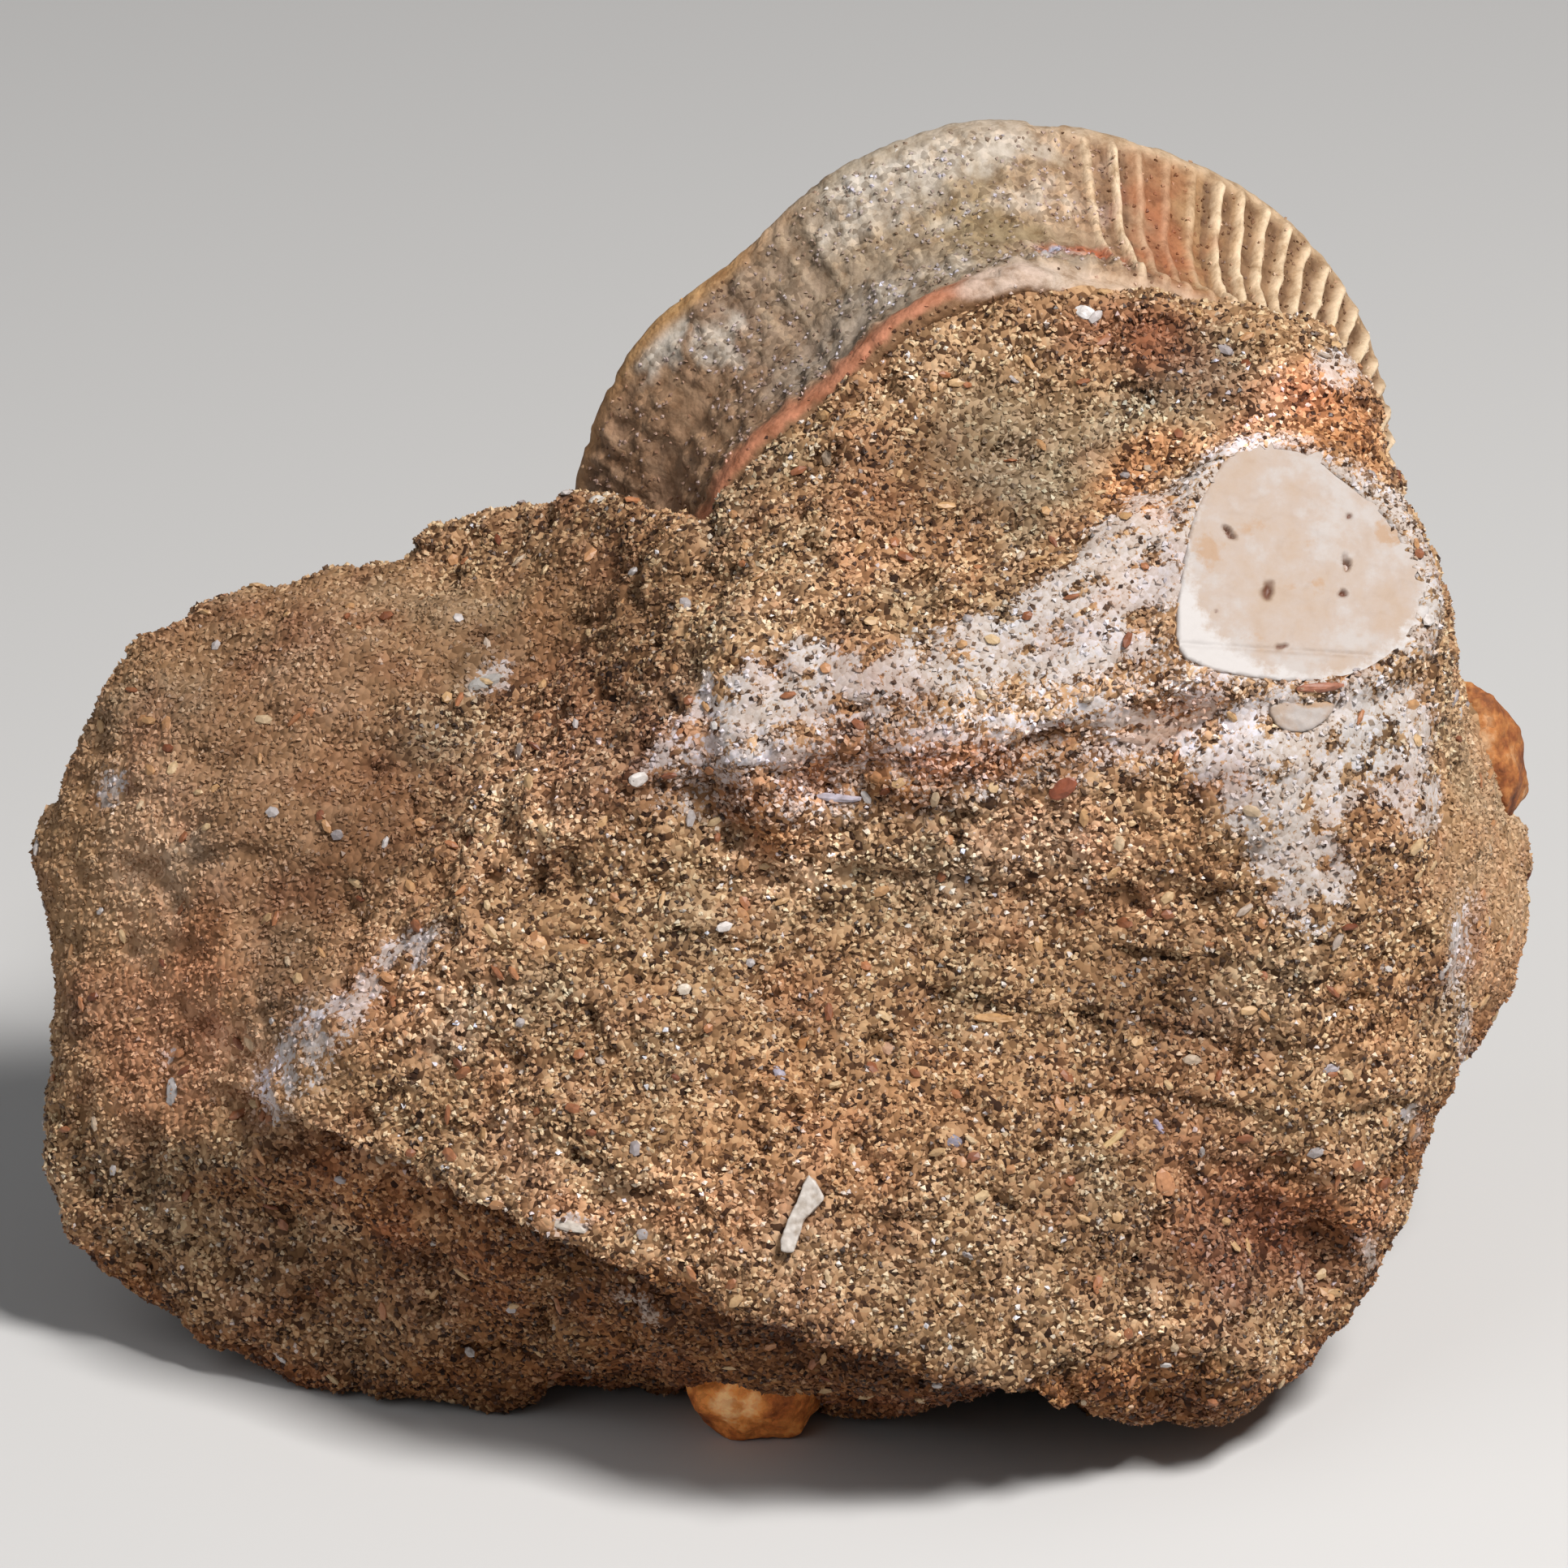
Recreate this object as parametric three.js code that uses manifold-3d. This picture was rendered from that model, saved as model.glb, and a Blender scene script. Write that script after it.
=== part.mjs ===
// A fossil shark vertebra, still held in a block of sandy phosphate rock.
//
// The centrum is a spool-shaped disc that stands upright in the block. Its rear cup is free of rock, the
// upper half of its ribbed side wall is bare, and its front cup is filled and covered by the block. A
// rubbed-down bone fragment, a chip of the same bone, a sliver of shell and two rusty nodules lie in the
// rock's surface.
//
// Millimetres, +Z up. The origin is on the flat that the block rests on. The block's broad broken face
// looks towards -Y, and leans back by FACE_LEAN from upright.
import * as THREE from "three";
import { ConvexGeometry } from "three/addons/geometries/ConvexGeometry.js";
import { ImprovedNoise } from "three/addons/math/ImprovedNoise.js";
import { mergeVertices } from "three/addons/utils/BufferGeometryUtils.js";
import Module from "manifold-3d";

const wasm = await Module();
wasm.setup();

const DEGREE = Math.PI / 180;

// ---- Driving dimensions --------------------------------------------------------------------------

const FACE_LEAN = 26 * DEGREE; // how far the block's broad face leans back
const FACE_HEIGHT = 39.4; // height of the face frame's origin above the ground
const FIT_GAP = 0.3; // air left between the rock and each piece held in it

const CENTRUM = {
  centre: [13.6, 26, 47.2], // middle of the rear rim
  heading: 13 * DEGREE, // how far the disc is turned about the vertical
  rearRadius: 29.2,
  frontRadius: 25.4,
  waistRadius: 24.2,
  length: 18,
  rearCup: 7.5, // depth of the free cup
  frontCup: 5,
  steps: 48, // sides of the turned body
};

const RIBS = {
  count: 88, // lamellae all the way round the wall
  bare: [3, 25], // the first and last that are bare, counted from the top; sand hides the others
  thickness: 0.8,
  rise: 0.8, // how far they stand out of the wall
  root: 0.8, // how far they reach into it
};

const ROCK = {
  heart: [2, 0, 32], // every point of the rough surface is in plain sight from here
  splits: 2, // each flat between landmarks becomes 4 ** splits triangles
  easing: [0.42, -0.38], // shares of the way to its neighbours' mean that each corner moves, in and out
  lumps: [
    { span: 16, rise: 1.5 }, // swells
    { span: 7, rise: 1.1 }, // broken lumps and pits
  ],
};

// ---- Frames --------------------------------------------------------------------------------------

// A point of the face frame: across to the right, up the leaning face, and out of it.
function onFace([across, up, out]) {
  const sin = Math.sin(FACE_LEAN);
  const cos = Math.cos(FACE_LEAN);
  return new THREE.Vector3(across, up * sin - out * cos, up * cos + out * sin + FACE_HEIGHT);
}

function point([x, y, z]) {
  return new THREE.Vector3(x, y, z);
}

// ---- Solids --------------------------------------------------------------------------------------

// A closed geometry with its shared corners merged, as a solid to join and cut.
function solid(geometry) {
  const bare = geometry.clone();
  bare.deleteAttribute("normal");
  bare.deleteAttribute("uv");
  const merged = mergeVertices(bare, 1e-4);
  return new wasm.Manifold(
    new wasm.Mesh({
      numProp: 3,
      vertProperties: merged.attributes.position.array,
      triVerts: new Uint32Array(merged.index.array),
    }),
  );
}

function geometryOf(body) {
  const mesh = body.getMesh();
  return new THREE.BufferGeometry()
    .setAttribute("position", new THREE.BufferAttribute(mesh.vertProperties, 3))
    .setIndex(new THREE.BufferAttribute(mesh.triVerts, 1));
}

// Turns +Z of a geometry towards a direction, and moves its origin to a place.
function aim(geometry, direction, place) {
  const up = new THREE.Vector3(0, 0, 1);
  const turn = new THREE.Quaternion().setFromUnitVectors(up, direction.clone().normalize());
  return geometry.applyQuaternion(turn).translate(place.x, place.y, place.z);
}

// ---- Rock: landmarks -----------------------------------------------------------------------------

// Landmarks of the broken surface in the face frame, feature by feature: [across, up, out].
const FACE_LANDMARKS = {
  // left outline, from the notch beside the disc down to the foot
  leftOutline: [
    [-17, 19, -9], [-25, 17.5, -11], [-27.5, 15.3, -11], [-32, 14.2, -11], [-38, 13.4, -12],
    [-43.5, 11, -12.5], [-48.3, 4.5, -13], [-51, -5, -12.5], [-49.9, -14, -11], [-50.2, -22, -9.5],
    [-49.9, -28, -8], [-49, -31, -8], [-43, -35, -8], [-39.5, -38, -7],
  ],
  // front edge of the foot
  footFront: [
    [-33, -40.5, -6], [-26, -42, -3], [-17, -42, -3], [-12, -40.5, -5], [-6.5, -41, -4],
    [-1.5, -42, -1], [9, -41.5, -3], [19, -41.5, -2.5],
  ],
  // right outline, from the front corner up to the disc
  rightOutline: [
    [29, -42, 4], [33.5, -40, 4], [39, -33.5, 2], [42, -28.5, -1], [43.5, -23, -3], [47.7, -16, -8],
    [50.5, -9, -11.5], [50.5, -3, -12.5], [48.5, 2.5, -13], [45.3, 7.5, -12.5], [42.6, 15, -9],
    [41, 20, -9],
  ],
  // upper edge, where the rock laps against the disc's front rim
  upperEdge: [
    [-14.5, 20, -5], [-11, 14.5, 2], [-6.5, 17, 5.5], [-0.5, 22.5, 7], [5.5, 27.5, 8],
    [11.5, 32, 8.3], [19, 32.5, 7], [26, 32, 5.5], [31.5, 31.5, 5], [37, 29, 4], [39.5, 24.5, 0.5],
  ],
  // hollow slope between that edge and the crest
  hollowSlope: [
    [-5.5, 11, 9.5], [-1, 15, 11.5], [4.5, 21, 10.5], [15.5, 22, 7], [22, 24.5, 7.6], [24.5, 19, 11.5],
    [32, 26, 10],
  ],
  // worn crest that runs to the bone fragment
  crest: [
    [-9.6, 1.2, 16.4], [-5, 7, 15], [2, 9.5, 16.2], [12.5, 11.5, 16.5], [19.5, 15, 15.6],
    [-2, 2.2, 18], [5, 3, 18.8], [15, 4.8, 19.4], [25.5, 6, 19.8], [25.5, 17.5, 15],
  ],
  // flat rubbed on the rock round the bone fragment
  rubbedFlat: [
    [25.5, 9, 18.9], [42.5, 12, 13.7], [31, 22, 12.8], [34, 6.5, 18], [38.5, 21.5, 11.2],
  ],
  // left edge of the broad face
  leftEdge: [
    [-33.8, -21.5, 9], [-29, -15.8, 11.6], [-22, -9.5, 13.8], [-16, -3, 14.6],
  ],
  // broad broken face: pits and a step under the crest, a ledge across the hollow, and a swell below it
  broadFace: [
    [-5.5, -1.8, 13], [3.5, -1.2, 14.6], [12.5, 0, 15.4], [21, 0.6, 16.4], [29, -2.5, 17],
    [-15.5, -7, 12], [-7, -5.6, 12.6], [-11, -11.5, 14], [0.5, -7, 13.2], [10, -6, 14.2],
    [8, -12, 15.4], [9.5, -14.4, 13.4], [19, -9, 14.4], [19, -17, 15.2], [-3, -15.5, 14.8],
    [28, -13.5, 14.4], [-20, -18.5, 13.4], [0, -23, 18.6], [12, -23, 18.4], [-11, -23.5, 17],
    [-1.5, -30, 19.6], [10, -31, 19],
  ],
  // gully that runs down to the right-hand corner, and the rib of rock under it
  gully: [
    [28.5, -27.5, 11], [31.5, -32, 6.6], [23, -32.5, 16], [29, -37, 12],
  ],
  // right end of the broad face, and the strip that turns the corner
  rightEnd: [
    [42, 5.5, 12.5], [40.5, -2, 15.6], [43.5, -11, 10.5], [44.5, -19, 4], [34.5, -12, 16],
    [34, -22, 13.5], [38, -29.5, 7], [47, -11, -1], [45, 3.5, 3],
  ],
  // sharp lower edge of the broad face
  lowerEdge: [
    [-25.5, -25, 12], [-20, -27.4, 14.2], [-14.5, -29.6, 16.2], [-9, -31.8, 17.8],
    [-3.5, -34, 18.6], [4.5, -36.6, 18.4], [14.5, -39, 15], [23.5, -41.5, 9],
  ],
  // undercut below that edge
  undercut: [
    [-41.5, -27, -3], [-36, -25.5, 3.4], [-28.5, -29.5, 4], [-20.5, -32.5, 6.6], [-12, -35.4, 9],
    [-3, -38, 10], [-30, -36, -2], [-17, -38, 1],
  ],
  // smooth lobe at the left, with a saddle between it and the broad face
  lobe: [
    [-37, -1.5, 1], [-43, 1, -4], [-29.5, 9, -2], [-20, 11, -1.5], [-16.5, 6.5, 2.5], [-24, 1, 3],
    [-18.5, 0.5, 7], [-29, -7.5, 4.4], [-40, -9, 0.6], [-45.5, -12.5, -4], [-35.5, -14.5, 4.4],
    [-43.5, -20, -3],
  ],
};

// Landmarks of the rear and the foot in the part's own frame: [x, y, z].
const REAR_LANDMARKS = {
  // under the disc's bare wall, inside the disc, then further back
  insideDisc: [
    [15.6, 17.2, 56], [0, 13.5, 53], [31, 20.5, 53], [14.7, 21.1, 47], [-4.8, 16.6, 47],
    [34.2, 25.6, 47], [14.7, 21.1, 27],
  ],
  // collar of rock round the lower half of the rear rim
  collar: [
    [42.5, 29.1, 41.1], [35, 27.3, 24], [21, 24.2, 16.5], [7, 21, 17], [-8, 17.5, 26],
    [-14.8, 15.9, 39.2], [-16, 15.6, 51.6],
  ],
  // rough rear
  rear: [
    [-30, 20, 42], [-46, 15, 22], [-31, 24, 24], [-34, 21, 9], [-14, 25, 11], [6, 27, 8],
    [28, 28, 9], [43, 25, 22], [47, 18, 31], [48, 12, 20],
  ],
  // edge of the foot, which the ground plane trims to a flat
  footEdge: [
    [-40, 0, 2], [-35, 14, 2], [8, 23, 1.5], [31, 22, 2], [37, 8, 2.5], [35, -8, 3],
    [-22, 2, -3], [2, -5, -3], [20, 4, -3],
  ],
};

// ---- Rock: surface -------------------------------------------------------------------------------

// Flats between neighbouring landmarks: neighbours are the corners of the convex hull of their directions.
function landmarkFlats() {
  const heart = point(ROCK.heart);
  const facing = Object.values(FACE_LANDMARKS).flat().map(onFace);
  const behind = Object.values(REAR_LANDMARKS).flat().map(point);
  const landmarks = [...facing, ...behind];
  const directions = landmarks.map((mark) => mark.clone().sub(heart).normalize());
  const corners = new ConvexGeometry(directions).attributes.position;
  const place = new THREE.Vector3();
  const flats = [];
  for (let i = 0; i < corners.count; i++) {
    place.fromBufferAttribute(corners, i);
    const nearest = directions.reduce(
      (best, direction, k) => (direction.dot(place) > directions[best].dot(place) ? k : best),
      0,
    );
    flats.push(...landmarks[nearest].toArray());
  }
  const geometry = new THREE.BufferGeometry();
  geometry.setAttribute("position", new THREE.Float32BufferAttribute(flats, 3));
  return mergeVertices(geometry, 1e-4);
}

// Splits every triangle in four at the middles of its sides.
function split(geometry) {
  const from = geometry.toNonIndexed().attributes.position;
  const made = [];
  const [a, b, c] = [new THREE.Vector3(), new THREE.Vector3(), new THREE.Vector3()];
  for (let i = 0; i < from.count; i += 3) {
    a.fromBufferAttribute(from, i);
    b.fromBufferAttribute(from, i + 1);
    c.fromBufferAttribute(from, i + 2);
    const ab = a.clone().lerp(b, 0.5);
    const bc = b.clone().lerp(c, 0.5);
    const ca = c.clone().lerp(a, 0.5);
    for (const corner of [a, ab, ca, ab, b, bc, ca, bc, c, ab, bc, ca]) made.push(...corner.toArray());
  }
  const finer = new THREE.BufferGeometry();
  finer.setAttribute("position", new THREE.Float32BufferAttribute(made, 3));
  return mergeVertices(finer, 1e-4);
}

// Moves each corner part of the way to the mean of its neighbours, which eases the edges between flats.
function ease(geometry, share) {
  const places = geometry.attributes.position;
  const index = geometry.index.array;
  const neighbours = Array.from({ length: places.count }, () => new Set());
  for (let i = 0; i < index.length; i += 3) {
    const [a, b, c] = index.slice(i, i + 3);
    neighbours[a].add(b).add(c);
    neighbours[b].add(c).add(a);
    neighbours[c].add(a).add(b);
  }
  const before = places.clone();
  const near = new THREE.Vector3();
  const here = new THREE.Vector3();
  neighbours.forEach((ring, i) => {
    const mean = new THREE.Vector3();
    for (const k of ring) mean.add(near.fromBufferAttribute(before, k));
    here.fromBufferAttribute(before, i).lerp(mean.divideScalar(ring.size), share);
    places.setXYZ(i, here.x, here.y, here.z);
  });
}

// Pushes each corner out or in along its normal by layered noise.
function roughen(geometry, lumps) {
  const noise = new ImprovedNoise();
  geometry.computeVertexNormals();
  const places = geometry.attributes.position;
  const normals = geometry.attributes.normal;
  const place = new THREE.Vector3();
  const normal = new THREE.Vector3();
  for (let i = 0; i < places.count; i++) {
    place.fromBufferAttribute(places, i);
    normal.fromBufferAttribute(normals, i);
    const rises = lumps.map(
      ({ span, rise }) => rise * noise.noise(place.x / span, place.y / span, place.z / span),
    );
    place.addScaledVector(normal, rises.reduce((sum, rise) => sum + rise, 0));
    places.setXYZ(i, place.x, place.y, place.z);
  }
}

function roughRock() {
  let surface = landmarkFlats();
  for (let i = 0; i < ROCK.splits; i++) {
    surface = split(surface);
    for (const share of ROCK.easing) ease(surface, share);
  }
  roughen(surface, ROCK.lumps);
  const above = new THREE.BoxGeometry(200, 200, 200).translate(0, 0, 100);
  return solid(surface).intersect(solid(above));
}

// ---- Vertebra ------------------------------------------------------------------------------------

// Side view of the turned body from the middle of its front cup to the middle of its rear cup, as radius
// and distance along the axis from the rear rim. For the pocket that it sits in, grow widens it all round,
// and the wall between the rims is widened by the ribs too.
function centrumProfile(grow) {
  const { rearRadius, frontRadius, waistRadius, length, rearCup, frontCup } = CENTRUM;
  const front = -length;
  const wall = grow > 0 ? grow + RIBS.rise : 0;
  return [
    [0, front + frontCup - grow],
    [frontRadius - 2.2, front + 0.6 - grow],
    [frontRadius - 1, front - grow],
    [frontRadius + grow, front + 0.7],
    [frontRadius + grow, front + 1.6],
    [waistRadius + wall, front + 5],
    [waistRadius + 1 + wall, front + 9.8],
    [rearRadius + grow, -1.9],
    [rearRadius + grow, -0.7],
    [rearRadius - 0.8, grow],
    [rearRadius - 2.4, -0.4 + grow],
    [rearRadius * 0.7, -rearCup * 0.4 + grow],
    [rearRadius * 0.38, -rearCup * 0.78 + grow],
    [0, -rearCup + grow],
  ].map(([radius, along]) => new THREE.Vector2(radius, along));
}

// Where the worn rims stand out from a true circle or are chipped back from it: the middle of each stretch
// in degrees from the top towards +X, its half width, and the share of the radius that it adds.
const WEAR = [
  [-39, 13, -0.06],
  [-3, 10, 0.014],
  [26, 15, -0.012],
  [92, 24, -0.03],
  [150, 9, -0.012],
  [204, 22, -0.02],
];

function wornRadius(angle) {
  return WEAR.reduce((sum, [middle, width, share]) => {
    const away = (1 - Math.cos(angle - middle * DEGREE)) / (1 - Math.cos(width * DEGREE));
    return sum + share * Math.exp(-away);
  }, 1);
}

function wear(geometry) {
  const places = geometry.attributes.position;
  for (let i = 0; i < places.count; i++) {
    const scale = wornRadius(Math.atan2(places.getX(i), places.getZ(i)));
    places.setX(i, places.getX(i) * scale);
    places.setZ(i, places.getZ(i) * scale);
  }
  return geometry;
}

// One lamella of the side wall: a thin upright blade that follows the wall and sinks into the rims.
function rib(angle) {
  const wall = centrumProfile(0).slice(4, 8);
  const rises = [-0.2, RIBS.rise, RIBS.rise, -0.2];
  const outer = wall.map(({ x, y }, k) => new THREE.Vector2(x + rises[k], y));
  const inner = [wall[3], wall[1], wall[0]].map(({ x, y }) => new THREE.Vector2(x - RIBS.root, y));
  const blade = new THREE.ExtrudeGeometry(new THREE.Shape([...outer, ...inner]), {
    depth: RIBS.thickness,
    bevelEnabled: false,
  });
  blade.translate(0, 0, -RIBS.thickness / 2).rotateY(angle - Math.PI / 2);
  return blade;
}

function centrumBody(grow, steps) {
  const turned = new THREE.LatheGeometry(centrumProfile(grow), steps);
  return solid(wear(turned));
}

function centrum() {
  let body = centrumBody(0, CENTRUM.steps);
  for (let k = RIBS.bare[0]; k <= RIBS.bare[1]; k++) {
    const angle = (k * 2 * Math.PI) / RIBS.count;
    body = body.add(solid(wear(rib(angle))));
  }
  return body;
}

// From the disc's own frame, with its axis along Y, to its place in the block.
function placeCentrum(geometry) {
  return geometry.rotateZ(CENTRUM.heading).translate(...CENTRUM.centre);
}

// ---- Pieces set in the rock's surface ------------------------------------------------------------

// A plug with a flat outer face, cut to a smooth outline in the plane of that face.
function plug({ outline, depth, face, place }, grow) {
  const curve = new THREE.CatmullRomCurve3(outline.map(([x, y]) => new THREE.Vector3(x, y, 0)), true);
  const middle = outline.reduce((sum, [x, y]) => sum.add(new THREE.Vector2(x, y)), new THREE.Vector2());
  middle.divideScalar(outline.length);
  const edge = curve.getPoints(outline.length * 2).slice(0, -1);
  const points = edge.map(({ x, y }) => {
    const away = new THREE.Vector2(x, y).sub(middle);
    return new THREE.Vector2(x, y).add(away.clone().setLength(grow));
  });
  const geometry = new THREE.ExtrudeGeometry(new THREE.Shape(points), {
    depth: depth + 2 * grow,
    bevelEnabled: false,
  });
  geometry.translate(0, 0, -depth - grow);
  return aim(geometry, onFace(face).sub(onFace([0, 0, 0])), onFace(place));
}

// Outlines and places are in the face frame; face is the way the flat side looks.
const RUBBED_FACE = [0.22, 0.34, 0.914];

const BONE = {
  outline: [
    ...[[-8.4, -6.7], [-8.3, -1.5], [-7.8, 2.4], [-6, 6.6], [-3.5, 8], [-0.4, 8.4], [2.8, 6.7]],
    ...[[5.4, 4.9], [7.7, 1.9], [8.5, -1.2], [7.5, -4.2], [5, -6.6], [1.4, -8.1], [-3.6, -8.6]],
    ...[[-7.6, -8.1]],
  ],
  depth: 5,
  face: RUBBED_FACE,
  place: [34.2, 14.4, 15.3],
};

const BONE_CHIP = {
  outline: [[-2.4, 0.5], [-0.3, 1], [2, 1], [1.4, -0.2], [-0.2, -1.2], [-1.8, -0.9]],
  depth: 3,
  face: [0.2, 0.1, 0.97],
  place: [33.9, 4.6, 18.2],
};

const SHELL_SLIVER = {
  outline: [
    ...[[-1.4, -2.4], [-0.6, -2.5], [0.1, -0.4], [1.4, 0.9], [1.2, 1.4], [0.4, 2.5]],
    ...[[-0.3, 0.9], [-1.1, -0.8]],
  ],
  depth: 2.5,
  face: [0, 0.05, 1],
  place: [1.2, -27.8, 20.4],
};

// A lump of rusty nodule: a ball stretched to its size and knocked out of round.
function nodule({ size, place, seed, tilt }, grow) {
  const noise = new ImprovedNoise();
  const bare = new THREE.IcosahedronGeometry(1, 2).deleteAttribute("normal").deleteAttribute("uv");
  const ball = mergeVertices(bare);
  const places = ball.attributes.position;
  const p = new THREE.Vector3();
  for (let i = 0; i < places.count; i++) {
    p.fromBufferAttribute(places, i);
    p.multiplyScalar(1 + 0.22 * noise.noise(p.x * 1.4 + seed, p.y * 1.4, p.z * 1.4));
    p.set(p.x * (size[0] + grow), p.y * (size[1] + grow), p.z * (size[2] + grow));
    places.setXYZ(i, p.x, p.y, p.z);
  }
  return ball.rotateY(tilt * DEGREE).translate(...place);
}

const EDGE_NODULE = { size: [3.8, 4.2, 5.8], place: [46.6, 11.5, 35.8], seed: 3.1, tilt: -16 };
const FOOT_NODULE = { size: [5, 4.4, 4], place: [-2, -16.4, 3.2], seed: 7.7, tilt: 0 };

// ---- Materials -----------------------------------------------------------------------------------

function finish(color, roughness) {
  return new THREE.MeshStandardMaterial({ color, roughness, metalness: 0 });
}

const SAND_ROCK = finish("#a17a50", 0.95);
const FOSSIL_BONE = finish("#d3b48d", 0.75);
const RUBBED_BONE = finish("#ecd3b6", 0.55);
const WHITE_SHELL = finish("#dcd6cf", 0.6);
const RUST = finish("#b5713a", 0.8);

// ---- The block -----------------------------------------------------------------------------------

const group = new THREE.Group();

function piece(name, geometry, material) {
  const mesh = new THREE.Mesh(geometry, material);
  mesh.name = name;
  group.add(mesh);
}

const GROUND = solid(new THREE.BoxGeometry(200, 200, 200).translate(0, 0, 100));
const POCKET_STEPS = 30;

const inserts = [
  ["bone_fragment", (grow) => solid(plug(BONE, grow)), RUBBED_BONE],
  ["bone_chip", (grow) => solid(plug(BONE_CHIP, grow)), RUBBED_BONE],
  ["shell_sliver", (grow) => solid(plug(SHELL_SLIVER, grow)), WHITE_SHELL],
  ["edge_nodule", (grow) => solid(nodule(EDGE_NODULE, grow)), RUST],
  ["foot_nodule", (grow) => solid(nodule(FOOT_NODULE, grow)).intersect(GROUND), RUST],
];

let rock = roughRock();
rock = rock.subtract(solid(placeCentrum(geometryOf(centrumBody(FIT_GAP, POCKET_STEPS)))));
for (const [, make] of inserts) rock = rock.subtract(make(FIT_GAP));
const block = rock.decompose().reduce((most, part) => (part.volume() > most.volume() ? part : most));

piece("matrix", geometryOf(block), SAND_ROCK);
piece("vertebra", placeCentrum(geometryOf(centrum())), FOSSIL_BONE);
for (const [name, make, material] of inserts) piece(name, geometryOf(make(0)), material);

export default group;
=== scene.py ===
# %% [markdown]
# # A shark vertebra in a block of phosphate sandstone
# The real thing is a broken block of sandy rock. A spool-shaped vertebra stands in it, with its ribbed side
# and its free cup showing. A rubbed piece of bone, a chip of it, a sliver of shell and two rusty nodules lie
# in the rock's surface. Everything was cemented together long ago, so nothing moves.
#
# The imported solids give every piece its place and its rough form. This script puts a finer skin on each one,
# then strews sand over the rock, because loose-looking grains are most of what the eye sees here.

import math

import bmesh
import bpy
import numpy as np
from mathutils import Matrix, Vector, noise
from mathutils.bvhtree import BVHTree


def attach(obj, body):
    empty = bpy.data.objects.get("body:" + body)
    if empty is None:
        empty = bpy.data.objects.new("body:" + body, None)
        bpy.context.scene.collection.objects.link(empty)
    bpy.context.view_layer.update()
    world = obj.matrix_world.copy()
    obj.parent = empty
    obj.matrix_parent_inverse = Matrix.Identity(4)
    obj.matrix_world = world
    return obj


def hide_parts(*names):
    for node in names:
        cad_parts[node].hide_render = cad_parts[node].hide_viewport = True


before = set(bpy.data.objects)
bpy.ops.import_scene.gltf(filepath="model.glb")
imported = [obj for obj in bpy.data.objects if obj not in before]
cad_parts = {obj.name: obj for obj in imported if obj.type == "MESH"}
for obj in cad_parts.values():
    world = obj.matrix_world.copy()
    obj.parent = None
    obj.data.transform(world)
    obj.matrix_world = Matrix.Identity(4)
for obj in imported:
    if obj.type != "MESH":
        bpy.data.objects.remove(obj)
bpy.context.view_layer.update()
MM = 0.001
print("solids:", ", ".join(sorted(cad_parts)))

# %% [markdown]
# ## Working in millimetres, on a leaning face
# Features of the rock are easiest to place on its broad broken face, as so far across and so far up it. That
# face leans back, so one small function turns the part's own coordinates into the face's.

# %% The face frame
FACE_LEAN = math.radians(26)
FACE_HEIGHT = 39.4


def face_frame(points):
    """Millimetres in the part's frame, as across, up and out of the leaning face."""
    x, y, z = points.T
    rise = z - FACE_HEIGHT
    up = y * math.sin(FACE_LEAN) + rise * math.cos(FACE_LEAN)
    out = -y * math.cos(FACE_LEAN) + rise * math.sin(FACE_LEAN)
    return np.stack([x, up, out], axis=1)


def face_point(across, up, out):
    """The other way: a place on the face, in the part's frame."""
    sin, cos = math.sin(FACE_LEAN), math.cos(FACE_LEAN)
    return np.array([across, up * sin - out * cos, up * cos + out * sin + FACE_HEIGHT])


UPWARD = face_point(0, 1, 0) - face_point(0, 0, 0)
OUTWARD = face_point(0, 0, 1) - face_point(0, 0, 0)
print("the face leans back", round(math.degrees(FACE_LEAN)), "degrees")


# %% Helpers for numbers and colours
def smooth(low, high, values):
    """0 below low, 1 above high, and an even S between."""
    share = np.clip((values - low) / (high - low), 0, 1)
    return share * share * (3 - 2 * share)


def rough(points, span, octaves=1, shift=0.0):
    """Layered noise of about -1 to 1, whose largest lumps are span millimetres apart."""
    return np.array([noise.fractal(Vector(p), 1.0, 2.0, octaves) for p in points / span + shift])


def linear(code):
    """A colour written as on a paint chart, such as #9b7657, as linear light."""
    parts = [int(code[k : k + 2], 16) / 255 for k in (1, 3, 5)]
    return np.array([c / 12.92 if c < 0.04045 else ((c + 0.055) / 1.055) ** 2.4 for c in parts])


# %% Helpers for meshes
def new_object(name, data):
    """An object for a mesh, a lamp or a camera, put in the scene."""
    made = bpy.data.objects.new(name, data)
    bpy.context.scene.collection.objects.link(made)
    return made


def make_object(name, points, faces):
    """A smooth-shaded object from points in millimetres and a list or array of faces."""
    mesh = bpy.data.meshes.new(name)
    mesh.from_pydata((points * MM).tolist(), [], [list(map(int, face)) for face in faces])
    mesh.polygons.foreach_set("use_smooth", [True] * len(mesh.polygons))
    return new_object(name, mesh)


def points_and_normals(mesh):
    """A mesh's points, and the outward direction at each."""
    points, away = np.empty(len(mesh.vertices) * 3), np.empty(len(mesh.vertices) * 3)
    mesh.vertices.foreach_get("co", points)
    mesh.vertex_normals.foreach_get("vector", away)
    return points.reshape(-1, 3), away.reshape(-1, 3)


def store(mesh, name, values):
    """Keeps one number, one direction or one colour for each point of a mesh."""
    kind, key, width = {
        1: ("FLOAT", "value", 1),
        3: ("FLOAT_VECTOR", "vector", 3),
        4: ("FLOAT_COLOR", "color", 4),
    }[1 if values.ndim == 1 else values.shape[1]]
    attribute = mesh.attributes.new(name, kind, "POINT")
    attribute.data.foreach_set(key, values.reshape(-1).astype(np.float32))


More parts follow.
